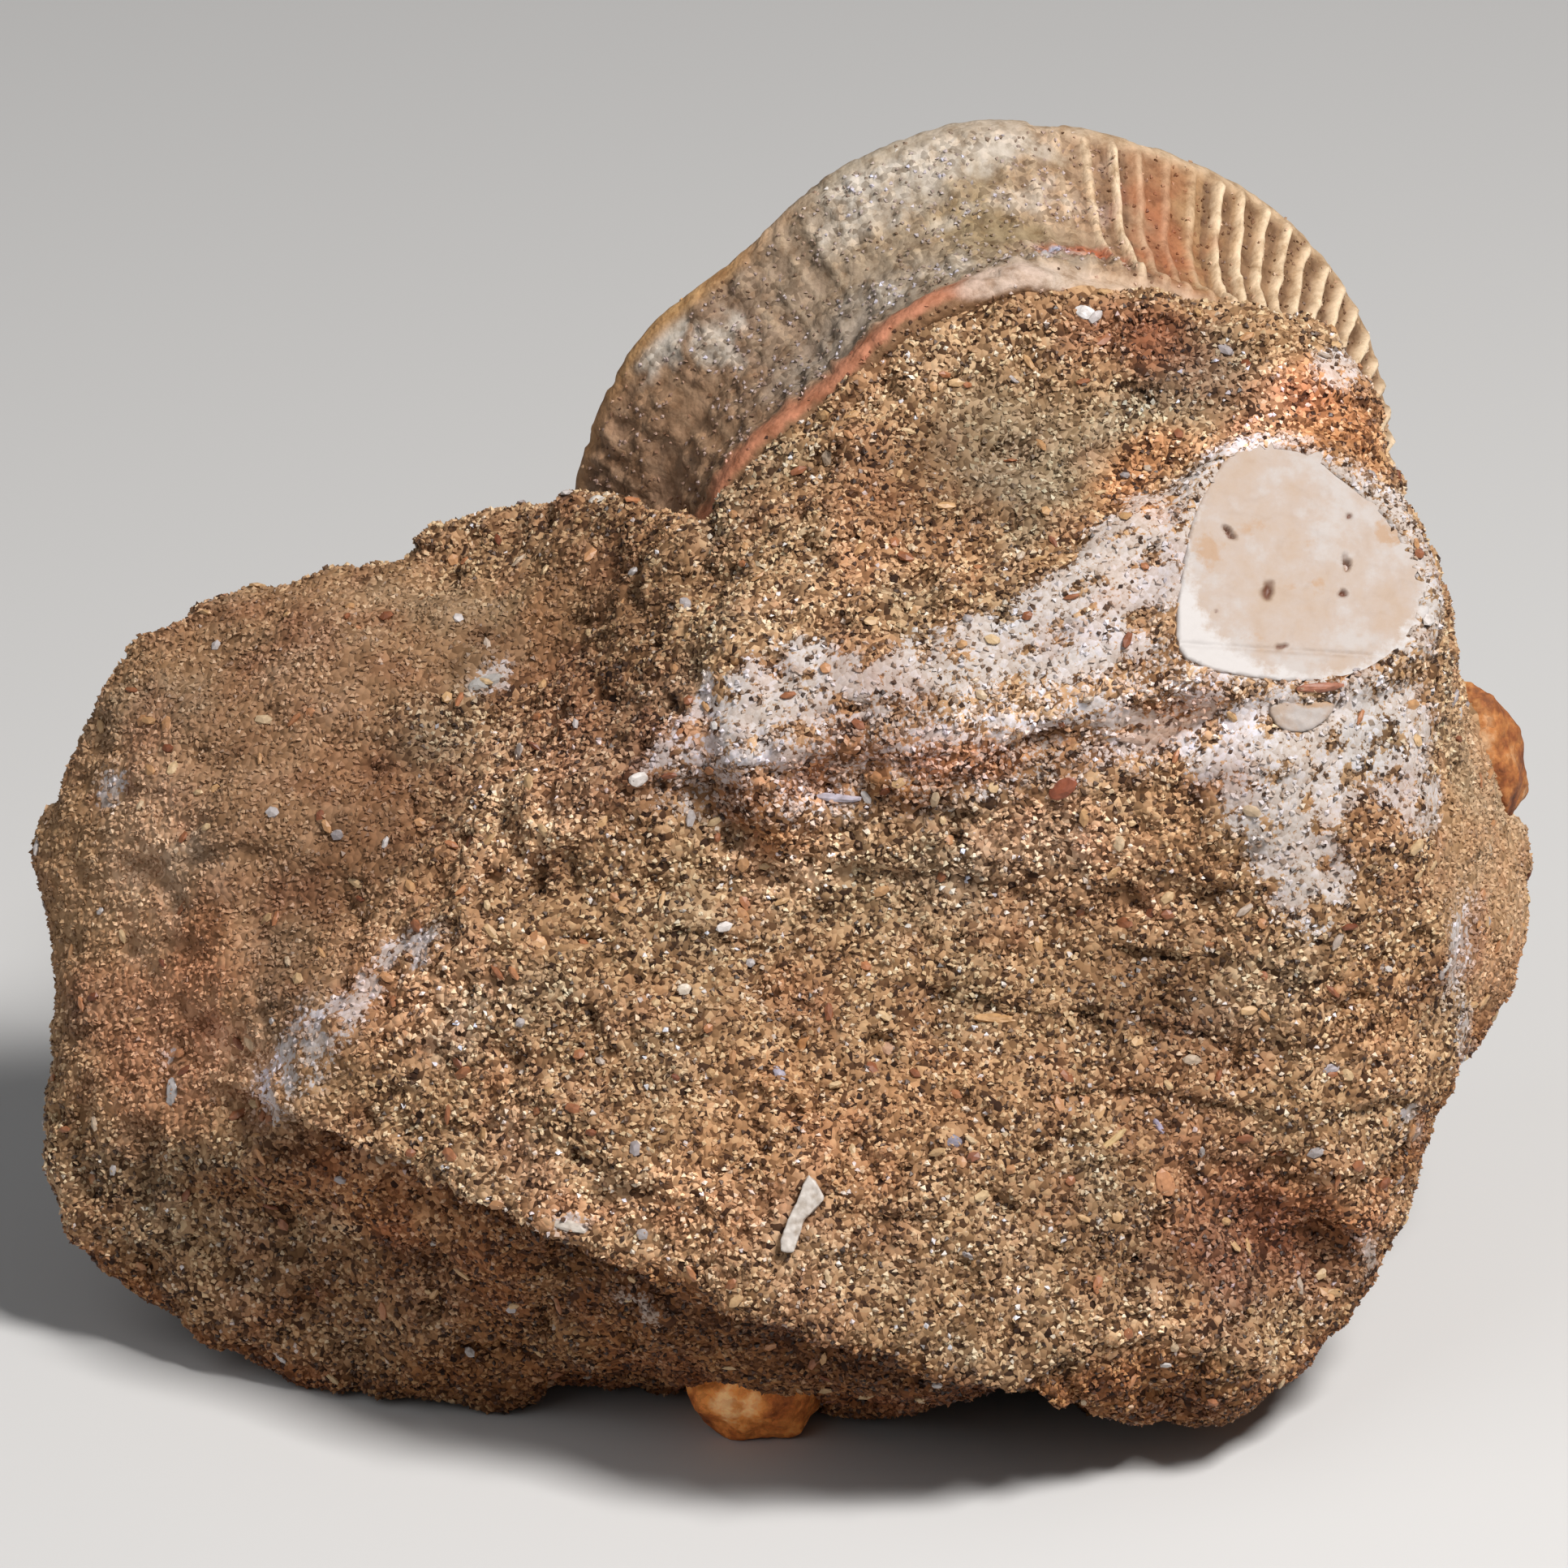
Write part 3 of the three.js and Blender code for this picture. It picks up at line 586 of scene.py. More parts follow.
# Many ovals here are painted light and painted shade, fixed to the rock, not stains.
TINTS = [  # tint, strength, across, up, half width, half height, turn
    (RED, 1.0, 22.5, 29.6, 4.8, 2.6, -20),
    (RED, 1.0, 29.5, -28.5, 5.4, 3.8, -50),
    (DARK_STAIN_AND_SHADE, 0.4, 30.5, -29.5, 3.4, 2.6, -50),
    (RED, 0.6, 35, -31, 3.5, 3.0, -40),
    (RED, 0.7, -13.5, 3.5, 3.5, 7.0, 20),
    (RED, 0.25, -30, -12, 8.0, 5.0, -20),
    (RED, 0.9, 34.9, 6.35, 2.2, 0.45, 2),
    (RED, 0.4, 16, -6, 6.0, 4.0, 0),
    (RED, 0.4, -30, -24, 4.0, 3.0, 0),
    (ORANGE, 0.9, 23.5, 19.8, 4.0, 2.0, 30),
    (ORANGE, 1.0, 36.5, 23, 4.5, 2.6, -40),
    (PALE, 0.8, 30.4, 24.2, 6.0, 2.8, 32),
    (ORANGE, 0.4, 3, -22, 10, 5.0, 0),
    (GREY, 1.0, 15.5, 21.6, 4.6, 4.8, 20),
    (GREY, 0.9, 24.6, 25.6, 5.0, 2.0, 35),
    (GREY, 0.5, -22.5, 3.4, 2.0, 4.0, -30),
    (GREY, 0.4, 9, -7, 8.0, 3.0, 0),
    (PALE, 0.8, 47.5, -5, 3.0, 12.0, 8),
    # Painted shade on the left lobe's upper face and its top ridge.
    (PAINTED_SHADE, 1.0, -33, 1.5, 13.0, 10.0, 15),
    (PAINTED_SHADE, 0.2, -27, 11, 9.0, 3.0, 10),
    (SOFT_PAINTED_LIGHT, 0.8, -40, -16.5, 7.0, 5.0, -20),
    (PALE, 0.3, 3.2, 13.3, 8.0, 3.5, 10),
    (PALE, 0.25, 18.8, 23.5, 5.0, 3.0, 20),
    (RED, 0.4, 31, -30, 4.0, 3.0, -40),
    (DARK_STAIN_AND_SHADE, 0.3, 23.2, 28.7, 3.5, 2.2, -20),
    (PALE, 0.2, 8, -28, 12.0, 5.0, -12),
    # Dark ovals are partly dark stain and partly painted shade in hollows.
    (DARK_STAIN_AND_SHADE, 0.9, -12, 11, 4.0, 9.0, 20),
    (DARK_STAIN_AND_SHADE, 0.4, -5, -2.2, 5.5, 1.5, 0),
    (SOFT_PAINTED_LIGHT, 0.4, 30.5, 24.0, 4.0, 1.8, 32),
    (SOFT_PAINTED_LIGHT, 0.5, -25, -13.8, 4.5, 3.0, 35),
    (PAINTED_LIGHT, 0.6, 19, 4.0, 11.0, 2.4, 8),
    (PAINTED_LIGHT, 0.9, 28, 4.2, 5.0, 2.2, 6),
    (PAINTED_LIGHT, 0.5, 31, 23.5, 4.0, 2.4, 32),
    (PAINTED_LIGHT, 1.0, 6, 0.6, 11.0, 2.6, 6),
    (PAINTED_LIGHT, 0.7, 18, -4.2, 6.0, 2.2, 0),
    (PAINTED_LIGHT, 1.0, 0.5, -4.6, 3.0, 2.4, 0),
    (PAINTED_LIGHT, 0.9, -6.4, 3.4, 3.2, 3.0, 0),
    (PAINTED_LIGHT, 0.9, -42.8, -4, 3.4, 7.0, -8),
    (PALE, 0.6, -42.8, -4, 3.4, 7.0, -8),
    (DARK_STAIN_AND_SHADE, 0.8, -32.4, -13.4, 2.4, 2.4, 0),
    (DARK_STAIN_AND_SHADE, 0.6, -9.5, 16, 2.6, 4.0, 0),
    (PAINTED_LIGHT, 0.5, 10, -4.4, 11.0, 2.2, 0),
    (PAINTED_LIGHT, 0.5, -20.6, -14, 3.0, 6.4, -35),
    (DARK_STAIN_AND_SHADE, 0.5, 27.4, -13.6, 2.4, 2.2, 0),
    (DARK_STAIN_AND_SHADE, 0.35, 28, -32, 7.0, 2.4, 0),
    (PAINTED_LIGHT, 0.4, -32, 5, 3.0, 3.0, 0),
    (PAINTED_LIGHT, 0.4, 5.5, 17, 2.4, 2.6, 0),
    (DARK_STAIN_AND_SHADE, 0.7, -29, -5, 10.0, 3.6, 52),
    (PAINTED_LIGHT, 0.9, -36, -18.6, 2.8, 2.6, 0),
    (DARK_STAIN_AND_SHADE, 0.9, -45.6, -27.4, 3.0, 2.6, 0),
    (DARK_STAIN_AND_SHADE, 0.4, -47, -17.5, 2.4, 3.5, 0),
    (PAINTED_LIGHT, 1.0, -26, -27.2, 6.5, 2.8, -20),
    (PALE, 0.9, -26, -27.4, 6.5, 2.2, -14),
    (PAINTED_LIGHT, 0.9, -9, -27.4, 10.0, 2.4, -12),
    (PAINTED_LIGHT, 0.4, -12, -32, 8.0, 2.4, -10),
    (DARK_STAIN_AND_SHADE, 0.6, -34, -32, 4.2, 2.2, 0),
    (PAINTED_LIGHT, 0.9, -17, -2, 4.2, 4.2, 0),
    (PAINTED_LIGHT, 0.5, -17, -20.5, 3.6, 3.6, 0),
    (DARK_STAIN_AND_SHADE, 0.8, -19.5, 8.8, 2.8, 2.6, 0),
    (DARK_STAIN_AND_SHADE, 0.85, 10.8, 19.8, 4.4, 4.6, 0),
    (PAINTED_LIGHT, 0.3, 1, 9.4, 4.4, 3.0, 0),
    (DARK_STAIN_AND_SHADE, 0.7, 25, -14, 4.2, 2.4, 0),
    (PAINTED_LIGHT, 0.6, 25.4, -8.4, 4.2, 2.2, 0),
    (PAINTED_LIGHT, 0.6, 32.6, -12.6, 3.0, 3.2, 0),
    (PAINTED_LIGHT, 0.4, 38.6, -18, 4.2, 2.6, 0),
    (PAINTED_LIGHT, 1.0, 36, -27, 3.8, 2.6, 0),
    (DARK_STAIN_AND_SHADE, 0.9, 23, -31.2, 4.6, 2.6, 0),
    (DARK_STAIN_AND_SHADE, 0.5, 17, -27.4, 3.6, 2.4, 0),
    (PAINTED_LIGHT, 0.7, 22.6, -36.2, 3.0, 2.0, 0),
    (DARK_STAIN_AND_SHADE, 0.6, -15.5, -7, 3.0, 1.8, 20),
    (DARK_STAIN_AND_SHADE, 0.4, 26, -12, 6.0, 5.0, -30),
]
WANDERING = [  # tint, strength, size of its patches, shift of its noise
    (RED, 0.5, 9, 80.0),
    (GREY, 0.5, 9, 90.0),
    (PALE, 0.5, 9, 100.0),
    (ORANGE, 0.3, 9, 110.0),
    (DARK_STAIN_AND_SHADE, 0.3, 2.6, 120.0),
    (PALE, 0.5, 2.8, 125.0),
    (RED, 0.4, 3.4, 135.0),
]
# Painted shade for the parts that face down
PAINTED_UNDERSIDE_SHADE = np.array([0.65, 0.445, 0.29])
PAINTED_CREASE_SHADE = np.array([0.5, 0.44, 0.4])  # painted shade in the crease under the broad face's lower edge
CALM_OVALS = [  # strength, across, up, half width, half height, turn
    (0.8, -40.5, -4, 16, 14, 0),
    (0.5, -40, -16, 12, 8, -10),
    (0.7, -30, 9, 20, 5, 10),
    (0.8, 48.5, -5, 5, 13, 5),
    (0.4, 15.5, 21.6, 6, 5, 20),
]
print("stains:", len(TINTS), "placed and", len(WANDERING), "wandering")


# %% From zones to numbers on points
TORN, TORN_SPAN = 0.9, 2.2  # how far and how finely a chalky zone's edge is torn
BENT, BENT_SPAN = 2.2, 7  # the same for a stain's edge
DUSTING = 0.55  # chalk where the rock is only dusted
MARGIN_CHALK = 0.8  # chalk in the bed of the rubbed bone


def rock_zones(points, normals):
    """The chalk, the tint (stains with painted light and shade) and the calmness of the rock at each point."""
    face = face_frame(points)
    torn, broad = face.copy(), face.copy()
    for k, (torn_shift, broad_shift) in enumerate(((3.0, 60.0), (9.0, 70.0))):
        torn[:, k] += TORN * rough(points, TORN_SPAN, 2, torn_shift)
        broad[:, k] += BENT * rough(points, BENT_SPAN, 2, broad_shift)
    toward = face_frame(normals + [0, 0, FACE_HEIGHT])[:, 2]
    front = smooth(-0.1, 0.3, toward)
    patchy = 0.5 + 0.5 * rough(points, 1.6, 3, 20.0)
    streaks = 0.5 + 0.5 * rough(face * [0.12, 1, 1], 0.8, 2, 40.0)
    chalk = outlined(torn, CREST_SMEAR, 0.5) * smooth(0.2, 0.36, patchy)
    for strength, across, up, wide, high, turn in UNRUBBED:
        chalk *= 1 - strength * oval(torn, across, up, wide, high, turn, 0.4)
    chalk = np.maximum(chalk, outlined(torn, LOWER_STREAK, 0.5) * smooth(0.3, 0.48, streaks))
    chalk = np.maximum(chalk, DUSTING * outlined(torn, DUSTED, 0.9) * smooth(0.2, 0.4, patchy))
    crack = 1 - 0.9 * oval(torn, 37.9, -4.5, 0.35, 7.0, 2, 0.4)
    chalk = np.maximum(chalk, outlined(torn, RIGHT_SMEAR, 0.7) * smooth(0.25, 0.45, patchy) * crack)
    chalk = np.maximum(chalk, outlined(torn, BONE_MARGIN, 0.4) * MARGIN_CHALK)
    for across, up, wide, high, turn in SMEAR_OVALS:
        chalk = np.maximum(chalk, oval(torn, across, up, wide, high, turn) * smooth(0.24, 0.44, patchy))
    chalk *= front
    tint = np.ones((len(points), 3))
    for colour, strength, across, up, wide, high, turn in TINTS:
        share = strength * front * oval(broad, across, up, wide, high, turn, 0.6)
        tint *= 1 + share[:, None] * (colour - 1)
    for colour, strength, size, shift in WANDERING:
        share = strength * smooth(0.15, 0.6, rough(points, size, 3, shift))
        tint *= 1 + share[:, None] * (colour - 1)
    # Painted shade: parts that face down are darkened.
    tint *= 1 + smooth(0.1, -0.4, normals[:, 2])[:, None] * (PAINTED_UNDERSIDE_SHADE - 1)
    calm = np.zeros(len(points))
    for strength, across, up, wide, high, turn in CALM_OVALS:
        calm = np.maximum(calm, strength * oval(broad, across, up, wide, high, turn, 0.25))
    return chalk, tint, calm


print("zones ready")

# %% [markdown]
# ## Relief
# Broken sandstone has relief at several sizes: soft swells, ledges with a little shade under them, pits where
# grains fell out, and the grains. Rubbed places are nearly flat. Pushing the skin's points along their own
# directions is enough for all but the grains.

# %% Relief
normals = normals_of(rock, quads)
chalk, tint, calm = rock_zones(rock, normals)
face = face_frame(rock)

CALM_FLATTENS, CHALK_FLATTENS = 0.6, 0.7
SWELLS, LUMPS, LEDGES, PITS_DEEP = 0.45, 0.40, 0.70, 0.85  # millimetres each kind of relief stands or sinks
LEDGE_STEP = 5.2
roughness = (1 - CALM_FLATTENS * calm) * (1 - CHALK_FLATTENS * chalk)
phase = (face[:, 1] + 3.2 * rough(rock, 13, 2, 5.0)) / LEDGE_STEP
ledges = 1 - (phase - np.floor(phase))
ledge_places = smooth(0.0, 0.35, rough(rock, 9, 2, 130.0))
pits = smooth(0.22, 0.55, rough(rock, 3.4, 2, 140.0))
relief = (
    SWELLS * rough(rock, 4.5, 3, 150.0)
    + LUMPS * rough(rock, 1.9, 2, 160.0)
    + LEDGES * (ledges - 0.5) * ledge_places
    - PITS_DEEP * pits
)


def beside_line(face, line):
    """Signed distance from an open line on the face, positive above it."""
    nearest, signed = np.full(len(face), 1e9), np.zeros(len(face))
    for a, b in zip(np.array(line[:-1]), np.array(line[1:])):
        share = np.clip(((face[:, :2] - a) @ (b - a)) / ((b - a) @ (b - a)), 0, 1)
        off = face[:, :2] - a - share[:, None] * (b - a)
        distance = np.hypot(*off.T)
        side = np.sign((b - a)[0] * off[:, 1] - (b - a)[1] * off[:, 0])
        signed = np.where(distance < nearest, side * distance, signed)
        nearest = np.minimum(nearest, distance)
    return signed


print("relief from", relief.min().round(1), "to", relief.max().round(1), "mm")

# %% Edges and ridges
LOWER_EDGE = [(-35, -20.6), (-25.5, -25), (-14.5, -29.6), (-3.5, -34), (4.5, -36.8), (14.5, -39.2)]
LOWER_EDGE += [(23, -41.6)]
CREST_EDGE = [(-10, 0.2), (-4, 0.9), (2, 1.6), (8, 2.2), (15, 3.1), (24, 4.4), (31, 5.4), (38, 6.2)]
LEFT_RIDGE = [(-34, -20.5), (-29, -15), (-20.8, -8.6), (-15, -4), (-9.8, 0.8)]
EDGE_LIP, EDGE_UNDERCUT = 0.8, 1.5
CREST_LIP, CREST_UNDERCUT = 0.25, 0.3
RIDGE, RIDGE_WIDTH = 0.5, 0.8
CREST_RAISED = 1.3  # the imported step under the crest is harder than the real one, so the skin rises there
HOLLOW_RAISED = 1.4  # the same in the hollow at the crest's left end
wobbled = face.copy()
wobbled[:, 1] += 0.5 * rough(rock, 3, 3, 170.0)
below = beside_line(wobbled, LOWER_EDGE)
relief += EDGE_LIP * smooth(-0.2, 0.2, below) * smooth(3.0, 0.2, below)
relief -= EDGE_UNDERCUT * smooth(0.2, -0.5, below) * smooth(-4.0, -0.8, below)
# Painted shade: the crease under the broad face's lower edge is darkened as if in shadow.
crease_shade = smooth(0.1, -0.6, below) * smooth(-5.0, -0.8, below) * smooth(0.4, 0.0, normals[:, 2])
crease_shade *= 0.35 + 0.65 * smooth(-24, -14, face[:, 0])
tint *= 1 + crease_shade[:, None] * (PAINTED_CREASE_SHADE - 1)
below = beside_line(wobbled, CREST_EDGE)
fading = smooth(15, 8, face[:, 0])
relief += CREST_LIP * fading * smooth(-0.2, 0.2, below) * smooth(1.5, 0.2, below)
relief -= CREST_UNDERCUT * fading * smooth(0.2, -0.4, below) * smooth(-2.2, -0.6, below)
relief += RIDGE * np.exp(-((beside_line(wobbled, LEFT_RIDGE) / RIDGE_WIDTH) ** 2))
rock += normals * (relief * roughness * spread_bare)[:, None]
raised = CREST_RAISED * smooth(0, -4, below) * smooth(-12, -6, below)
raised *= smooth(-12, -5, face[:, 0]) * smooth(37, 29, face[:, 0])
raised += HOLLOW_RAISED * oval(face, -5.5, 2.4, 2.8, 2.0, 0, 0.6)
rock += (raised * smooth(0, 0.3, normals @ OUTWARD))[:, None] * OUTWARD
print("the skin is raised under the crest by up to", raised.max().round(2), "mm")

# %% Set the skin level with the rubbed bone, and on the ground
BONE_PLACE = face_point(34.2, 14.4, 15.3)
BONE_FACE = face_point(0.22, 0.34, 0.914) - face_point(0, 0, 0)
BONE_FACE /= np.linalg.norm(BONE_FACE)
BONE_COLLAR = 1.8  # width of the rock round the bone that is drawn level with it
BONE_REACH = 16  # no rock farther than this from the bone's middle is touched
SLIPPED = -0.5  # height of the skin under the bone
FLUSH = 0.05  # height of the skin beside it
height = (rock - BONE_PLACE) @ BONE_FACE
bone, _ = solid_tree(["bone_fragment"])
beside = np.full(count, 1e3)
for k in np.flatnonzero(np.linalg.norm(rock - BONE_PLACE, axis=1) < BONE_REACH):
    beside[k] = bone.find_nearest(Vector(rock[k] - height[k] * BONE_FACE))[3]
pull = smooth(BONE_COLLAR, 0.3, beside) * smooth(5.0, 3.4, np.abs(height))
well_under = neighbour_mean(under_bone.astype(float), edges, count) > 0.99
level = np.where(well_under, SLIPPED, FLUSH + 0.22 * rough(rock, 1.1, 2, 180.0))
rock += BONE_FACE * (pull * (level - height))[:, None]
rock[:, 2] = np.maximum(rock[:, 2], 0)

matrix = make_object("matrix_skin", rock, quads)
bare_here = np.where(beside < 3, ~under_bone, spread_bare)
cover = bare_here * (1 - 0.66 * chalk) * (1 - 0.3 * calm) * smooth(0.15, 0.6, rock[:, 2])
for name, values in {"cover": cover, "chalk": chalk, "calm": calm, "tint": with_alpha(tint)}.items():
    store(matrix.data, name, values)
print("rubbed share of the skin:", round(float(chalk.mean()), 3))

# %% [markdown]
# ## The rock's finish
# Under the loose grains the skin shows packed ones: a Voronoi pattern at grain size gives each its own tone
# and a domed bump. Chalk fills the places between them where the rock was rubbed.

# %% Finish of the packed sand
GRAINS_PER_METRE = 2100.0
PACKED_SHARE = 0.72  # packed grains keep to the darker tones, because the loose ones shade them
DOME_GAPS, GRIT_GAPS = 0.7, 1.9  # how much the grains' domes and the finer grit break up the chalk
CHALK_EVEN = 0.62  # chalk that covers about half the ground

sand_packed, tree, shader, here = new_finish("packed_sand")
packed = place_group(tree, grain_height, {"Vector": here, "Grains per metre": GRAINS_PER_METRE})
place_tint, place_chalk = kept_colour(tree, "tint"), kept_number(tree, "chalk")
packed_look = {
    "Chance": maths(tree, "MULTIPLY", packed["Chance"], PACKED_SHARE),
    "Tint": place_tint,
    "Chalk": 0.0,
    "Calm": kept_number(tree, "calm"),
}
coloured = place_group(tree, grain_colour, packed_look)["Color"]
smear = noisy(tree, here, 900.0, 5.0, 0.7)
grit = noisy(tree, here, 3600.0, 3.0, 0.7)
domes = maths(tree, "MULTIPLY", maths(tree, "SUBTRACT", packed["Height"], 0.6), DOME_GAPS)
fine_gaps = maths(tree, "MULTIPLY", maths(tree, "SUBTRACT", grit, 0.52), GRIT_GAPS)
gaps = maths(tree, "ADD", domes, fine_gaps)
rubbed = maths(tree, "ADD", maths(tree, "SUBTRACT", place_chalk, CHALK_EVEN), gaps)
chalked = ramp(tree, maths(tree, "ADD", smear, rubbed), shade(0.34, 0.56))
varied = maths(tree, "MULTIPLY", packed["Chance"], 0.5)
varied = maths(tree, "ADD", varied, maths(tree, "SUBTRACT", grit, 0.25))
chalk_tone = mix_colour(tree, CHALK_TINTED, ramp(tree, varied, CHALK_TONES), place_tint, "MULTIPLY")
worn_down = maths(tree, "SUBTRACT", 1.0, maths(tree, "MULTIPLY", place_chalk, 0.6))
standing = maths(tree, "MULTIPLY", packed["Height"], worn_down)
shown = mix_colour(tree, chalked, coloured, chalk_tone)
dress(tree, shader, shown, 0.9, (standing, 0.8, 0.00022), shine=0.3)
matrix.data.materials.append(sand_packed)
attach(matrix, "root")
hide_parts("matrix")
print(sand_packed.name, "has", len(tree.nodes), "nodes")

# %% Finish of a loose grain
sand_loose, tree, shader, _ = new_finish("loose_sand")
chance = kept_number(tree, "grain_tone")
loose_look = {
    "Chance": chance,
    "Tint": kept_colour(tree, "tint"),
    "Chalk": kept_number(tree, "chalk"),
    "Calm": kept_number(tree, "calm"),
}
glint = ramp(tree, chance, [(0.0, (0.45, 0.45, 0.45)), (0.5, (0.8, 0.8, 0.8)), (1.0, (0.5, 0.5, 0.5))])
dress(tree, shader, place_group(tree, grain_colour, loose_look)["Color"], glint)
print(sand_loose.name, "has", len(tree.nodes), "nodes")

# %% [markdown]
# ## Strewing the sand
# Every grain is a tiny eight-sided stone of about 0.4 mm. Geometry Nodes scatter them over a carrier mesh,
# more where its "cover" is high, turn and size each at random, and keep one random number on each for its
# colour. Particles would be quicker to set up, but they don't survive export. The tree ends by making the
# copies real, and the result is kept as a plain mesh.

# %% What every scattering tree does
def sow(tree, given, density):
    """Points over the carrier, each with one random number kept for its colour, and the surface's turn."""
    seed = given["Seed"]
    strewn = add(
        tree,
        "GeometryNodeDistributePointsOnFaces",
        {"Mesh": given["Geometry"], "Density": density, "Seed": seed},
    )
    chance = add(tree, "FunctionNodeRandomValue", {"Seed": seed}, data_type="FLOAT").outputs[1]
    toned = add(
        tree,
        "GeometryNodeStoreNamedAttribute",
        {"Geometry": strewn.outputs["Points"], "Name": "grain_tone", "Value": chance},
        data_type="FLOAT",
    )
    return toned.outputs["Geometry"], strewn.outputs["Rotation"]


def any_three(tree, low, high, seed):
    """Three random numbers for each point."""
    values = {"Min": low, "Max": high, "Seed": seed}
    return add(tree, "FunctionNodeRandomValue", values, data_type="FLOAT_VECTOR").outputs[0]


def set_stones(tree, points, stone, turned, sized):
    """A copy of the stone on each point."""
    values = {"Points": points, "Instance": stone, "Rotation": turned, "Scale": sized}
    return add(tree, "GeometryNodeInstanceOnPoints", values).outputs["Instances"]


def make_real(tree, copies, given, result):
    """Turns the copies into plain mesh and gives it the finish, which ends a tree."""
    real = add(tree, "GeometryNodeRealizeInstances", {"Geometry": copies}).outputs["Geometry"]
    dressed = add(tree, "GeometryNodeSetMaterial", {"Geometry": real, "Material": given["Finish"]})
    tree.links.new(dressed.outputs["Geometry"], result["Geometry"])


GEOMETRY, WHOLE, MATERIAL = "NodeSocketGeometry", "NodeSocketInt", "NodeSocketMaterial"
FULL_TURN = 2 * math.pi

# %% The tree for grains
strew, given, result = new_group(
    "strew_grains",
    {
        "Geometry": GEOMETRY,
        "Grains per square metre": NUMBER,
        "Grain radius": NUMBER,
        "Seed": WHOLE,
        "Finish": MATERIAL,
    },
    {"Geometry": GEOMETRY},
    "GeometryNodeTree",
)
covered = add(strew, "GeometryNodeInputNamedAttribute", {"Name": "cover"}, data_type="FLOAT")
density = maths(strew, "MULTIPLY", covered.outputs["Attribute"], given["Grains per square metre"])
points, _ = sow(strew, given, density)
stone = add(
    strew, "GeometryNodeMeshUVSphere", {"Segments": 4, "Rings": 2, "Radius": given["Grain radius"]}
).outputs["Mesh"]
turned = any_three(strew, (0, 0, 0), (FULL_TURN,) * 3, 5)
sized = any_three(strew, (0.5, 0.6, 0.7), (1.15, 1.3, 1.5), 6)
make_real(strew, set_stones(strew, points, stone, turned, sized), given, result)
print(strew.name, "has", len(strew.nodes), "nodes")

# %% [markdown]
# Among the grains lie broken bits of shell and bone. They are larger and flat, and lie along the surface, so
# their tree takes its turn from the surface and flattens the stone.

# %% The tree for flakes
flakes_tree, given, result = new_group(
    "strew_flakes",
    {
        "Geometry": GEOMETRY,
        "Flakes per square metre": NUMBER,
        "Flake radius": NUMBER,
        "Lift": NUMBER,
        "Seed": WHOLE,
        "Finish": MATERIAL,
    },
    {"Geometry": GEOMETRY},
    "GeometryNodeTree",
)
points, along_surface = sow(flakes_tree, given, given["Flakes per square metre"])
stone = add(
    flakes_tree, "GeometryNodeMeshIcoSphere", {"Radius": given["Flake radius"], "Subdivisions": 1}
).outputs["Mesh"]
spin = any_three(flakes_tree, (-0.3, -0.3, 0), (0.3, 0.3, FULL_TURN), 8)
lying = add(
    flakes_tree,
    "FunctionNodeRotateRotation",
    {"Rotation": along_surface, "Rotate By": spin},
    rotation_space="LOCAL",
).outputs[0]
sized = any_three(flakes_tree, (0.7, 0.4, 0.25), (1.6, 0.9, 0.5), 9)
copies = set_stones(flakes_tree, points, stone, lying, sized)
offset = add(flakes_tree, "ShaderNodeCombineXYZ", {"Z": given["Lift"]}).outputs[0]
lifted = add(flakes_tree, "GeometryNodeTranslateInstances", {"Instances": copies, "Translation": offset})
make_real(flakes_tree, lifted.outputs["Instances"], given, result)
print(flakes_tree.name, "has", len(flakes_tree.nodes), "nodes")


# %% A helper that runs a tree once and keeps the plain mesh
def run_tree(name, carrier, tree, values):
    """The mesh that a Geometry Nodes tree makes from a carrier's mesh, as a new object."""
    working = new_object(name + "_working", carrier.data)
    modifier = working.modifiers.new("tree", "NODES")
    modifier.node_group = tree
    for item in tree.interface.items_tree:
        if item.item_type == "SOCKET" and item.in_out == "INPUT" and item.name in values:
            modifier[item.identifier] = values[item.name]
    evaluated = working.evaluated_get(bpy.context.evaluated_depsgraph_get())
    mesh = bpy.data.meshes.new_from_object(evaluated)
    bpy.data.objects.remove(working)
    mesh.name = name
    return new_object(name, mesh)


# %% Sand on the rock
LAYERS = 5
FIRST_SEED = 11
GRAIN_RADIUS = 0.23 * MM
GRAINS = 1.5e6  # on each square metre, in each layer, which keeps a layer under 200,000 triangles
for layer in range(LAYERS):
    grains = run_tree(
        f"rock_sand_{layer + 1}",
        matrix,
        strew,
        {
            "Grains per square metre": GRAINS,
            "Grain radius": GRAIN_RADIUS,
            "Seed": FIRST_SEED + layer,
            "Finish": sand_loose,
        },
    )
    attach(grains, "root")
    print(grains.name, len(grains.data.polygons), "triangles")

# %% Broken bits among the sand
FLAKE_TONES = [
    (0.0, linear("#6d3a22")),
    (0.25, linear("#a36c48")),
    (0.55, linear("#b58f64")),
    (0.8, linear("#bfa580")),
    (0.9, linear("#948c8e")),
    (1.0, linear("#c4bebb")),
]
flake_finish, tree, shader, here = new_finish("broken_bits")
shaded = ramp(tree, noisy(tree, here, 2600.0, 3.0), [(0.3, (0.7, 0.66, 0.62)), (0.6, (1.05, 1.05, 1.05))])
toned = ramp(tree, kept_number(tree, "grain_tone"), FLAKE_TONES)
dress(tree, shader, mix_colour(tree, 0.8, toned, shaded, "MULTIPLY"), 0.5)
flakes = run_tree(
    "rock_flakes",
    matrix,
    flakes_tree,
    {
        "Flakes per square metre": 5.0e4,
        "Flake radius": 0.5 * MM,
        "Lift": 0.30 * MM,
        "Seed": 3,
        "Finish": flake_finish,
    },
)
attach(flakes, "root")
print(flakes.name, len(flakes.data.polygons), "triangles")

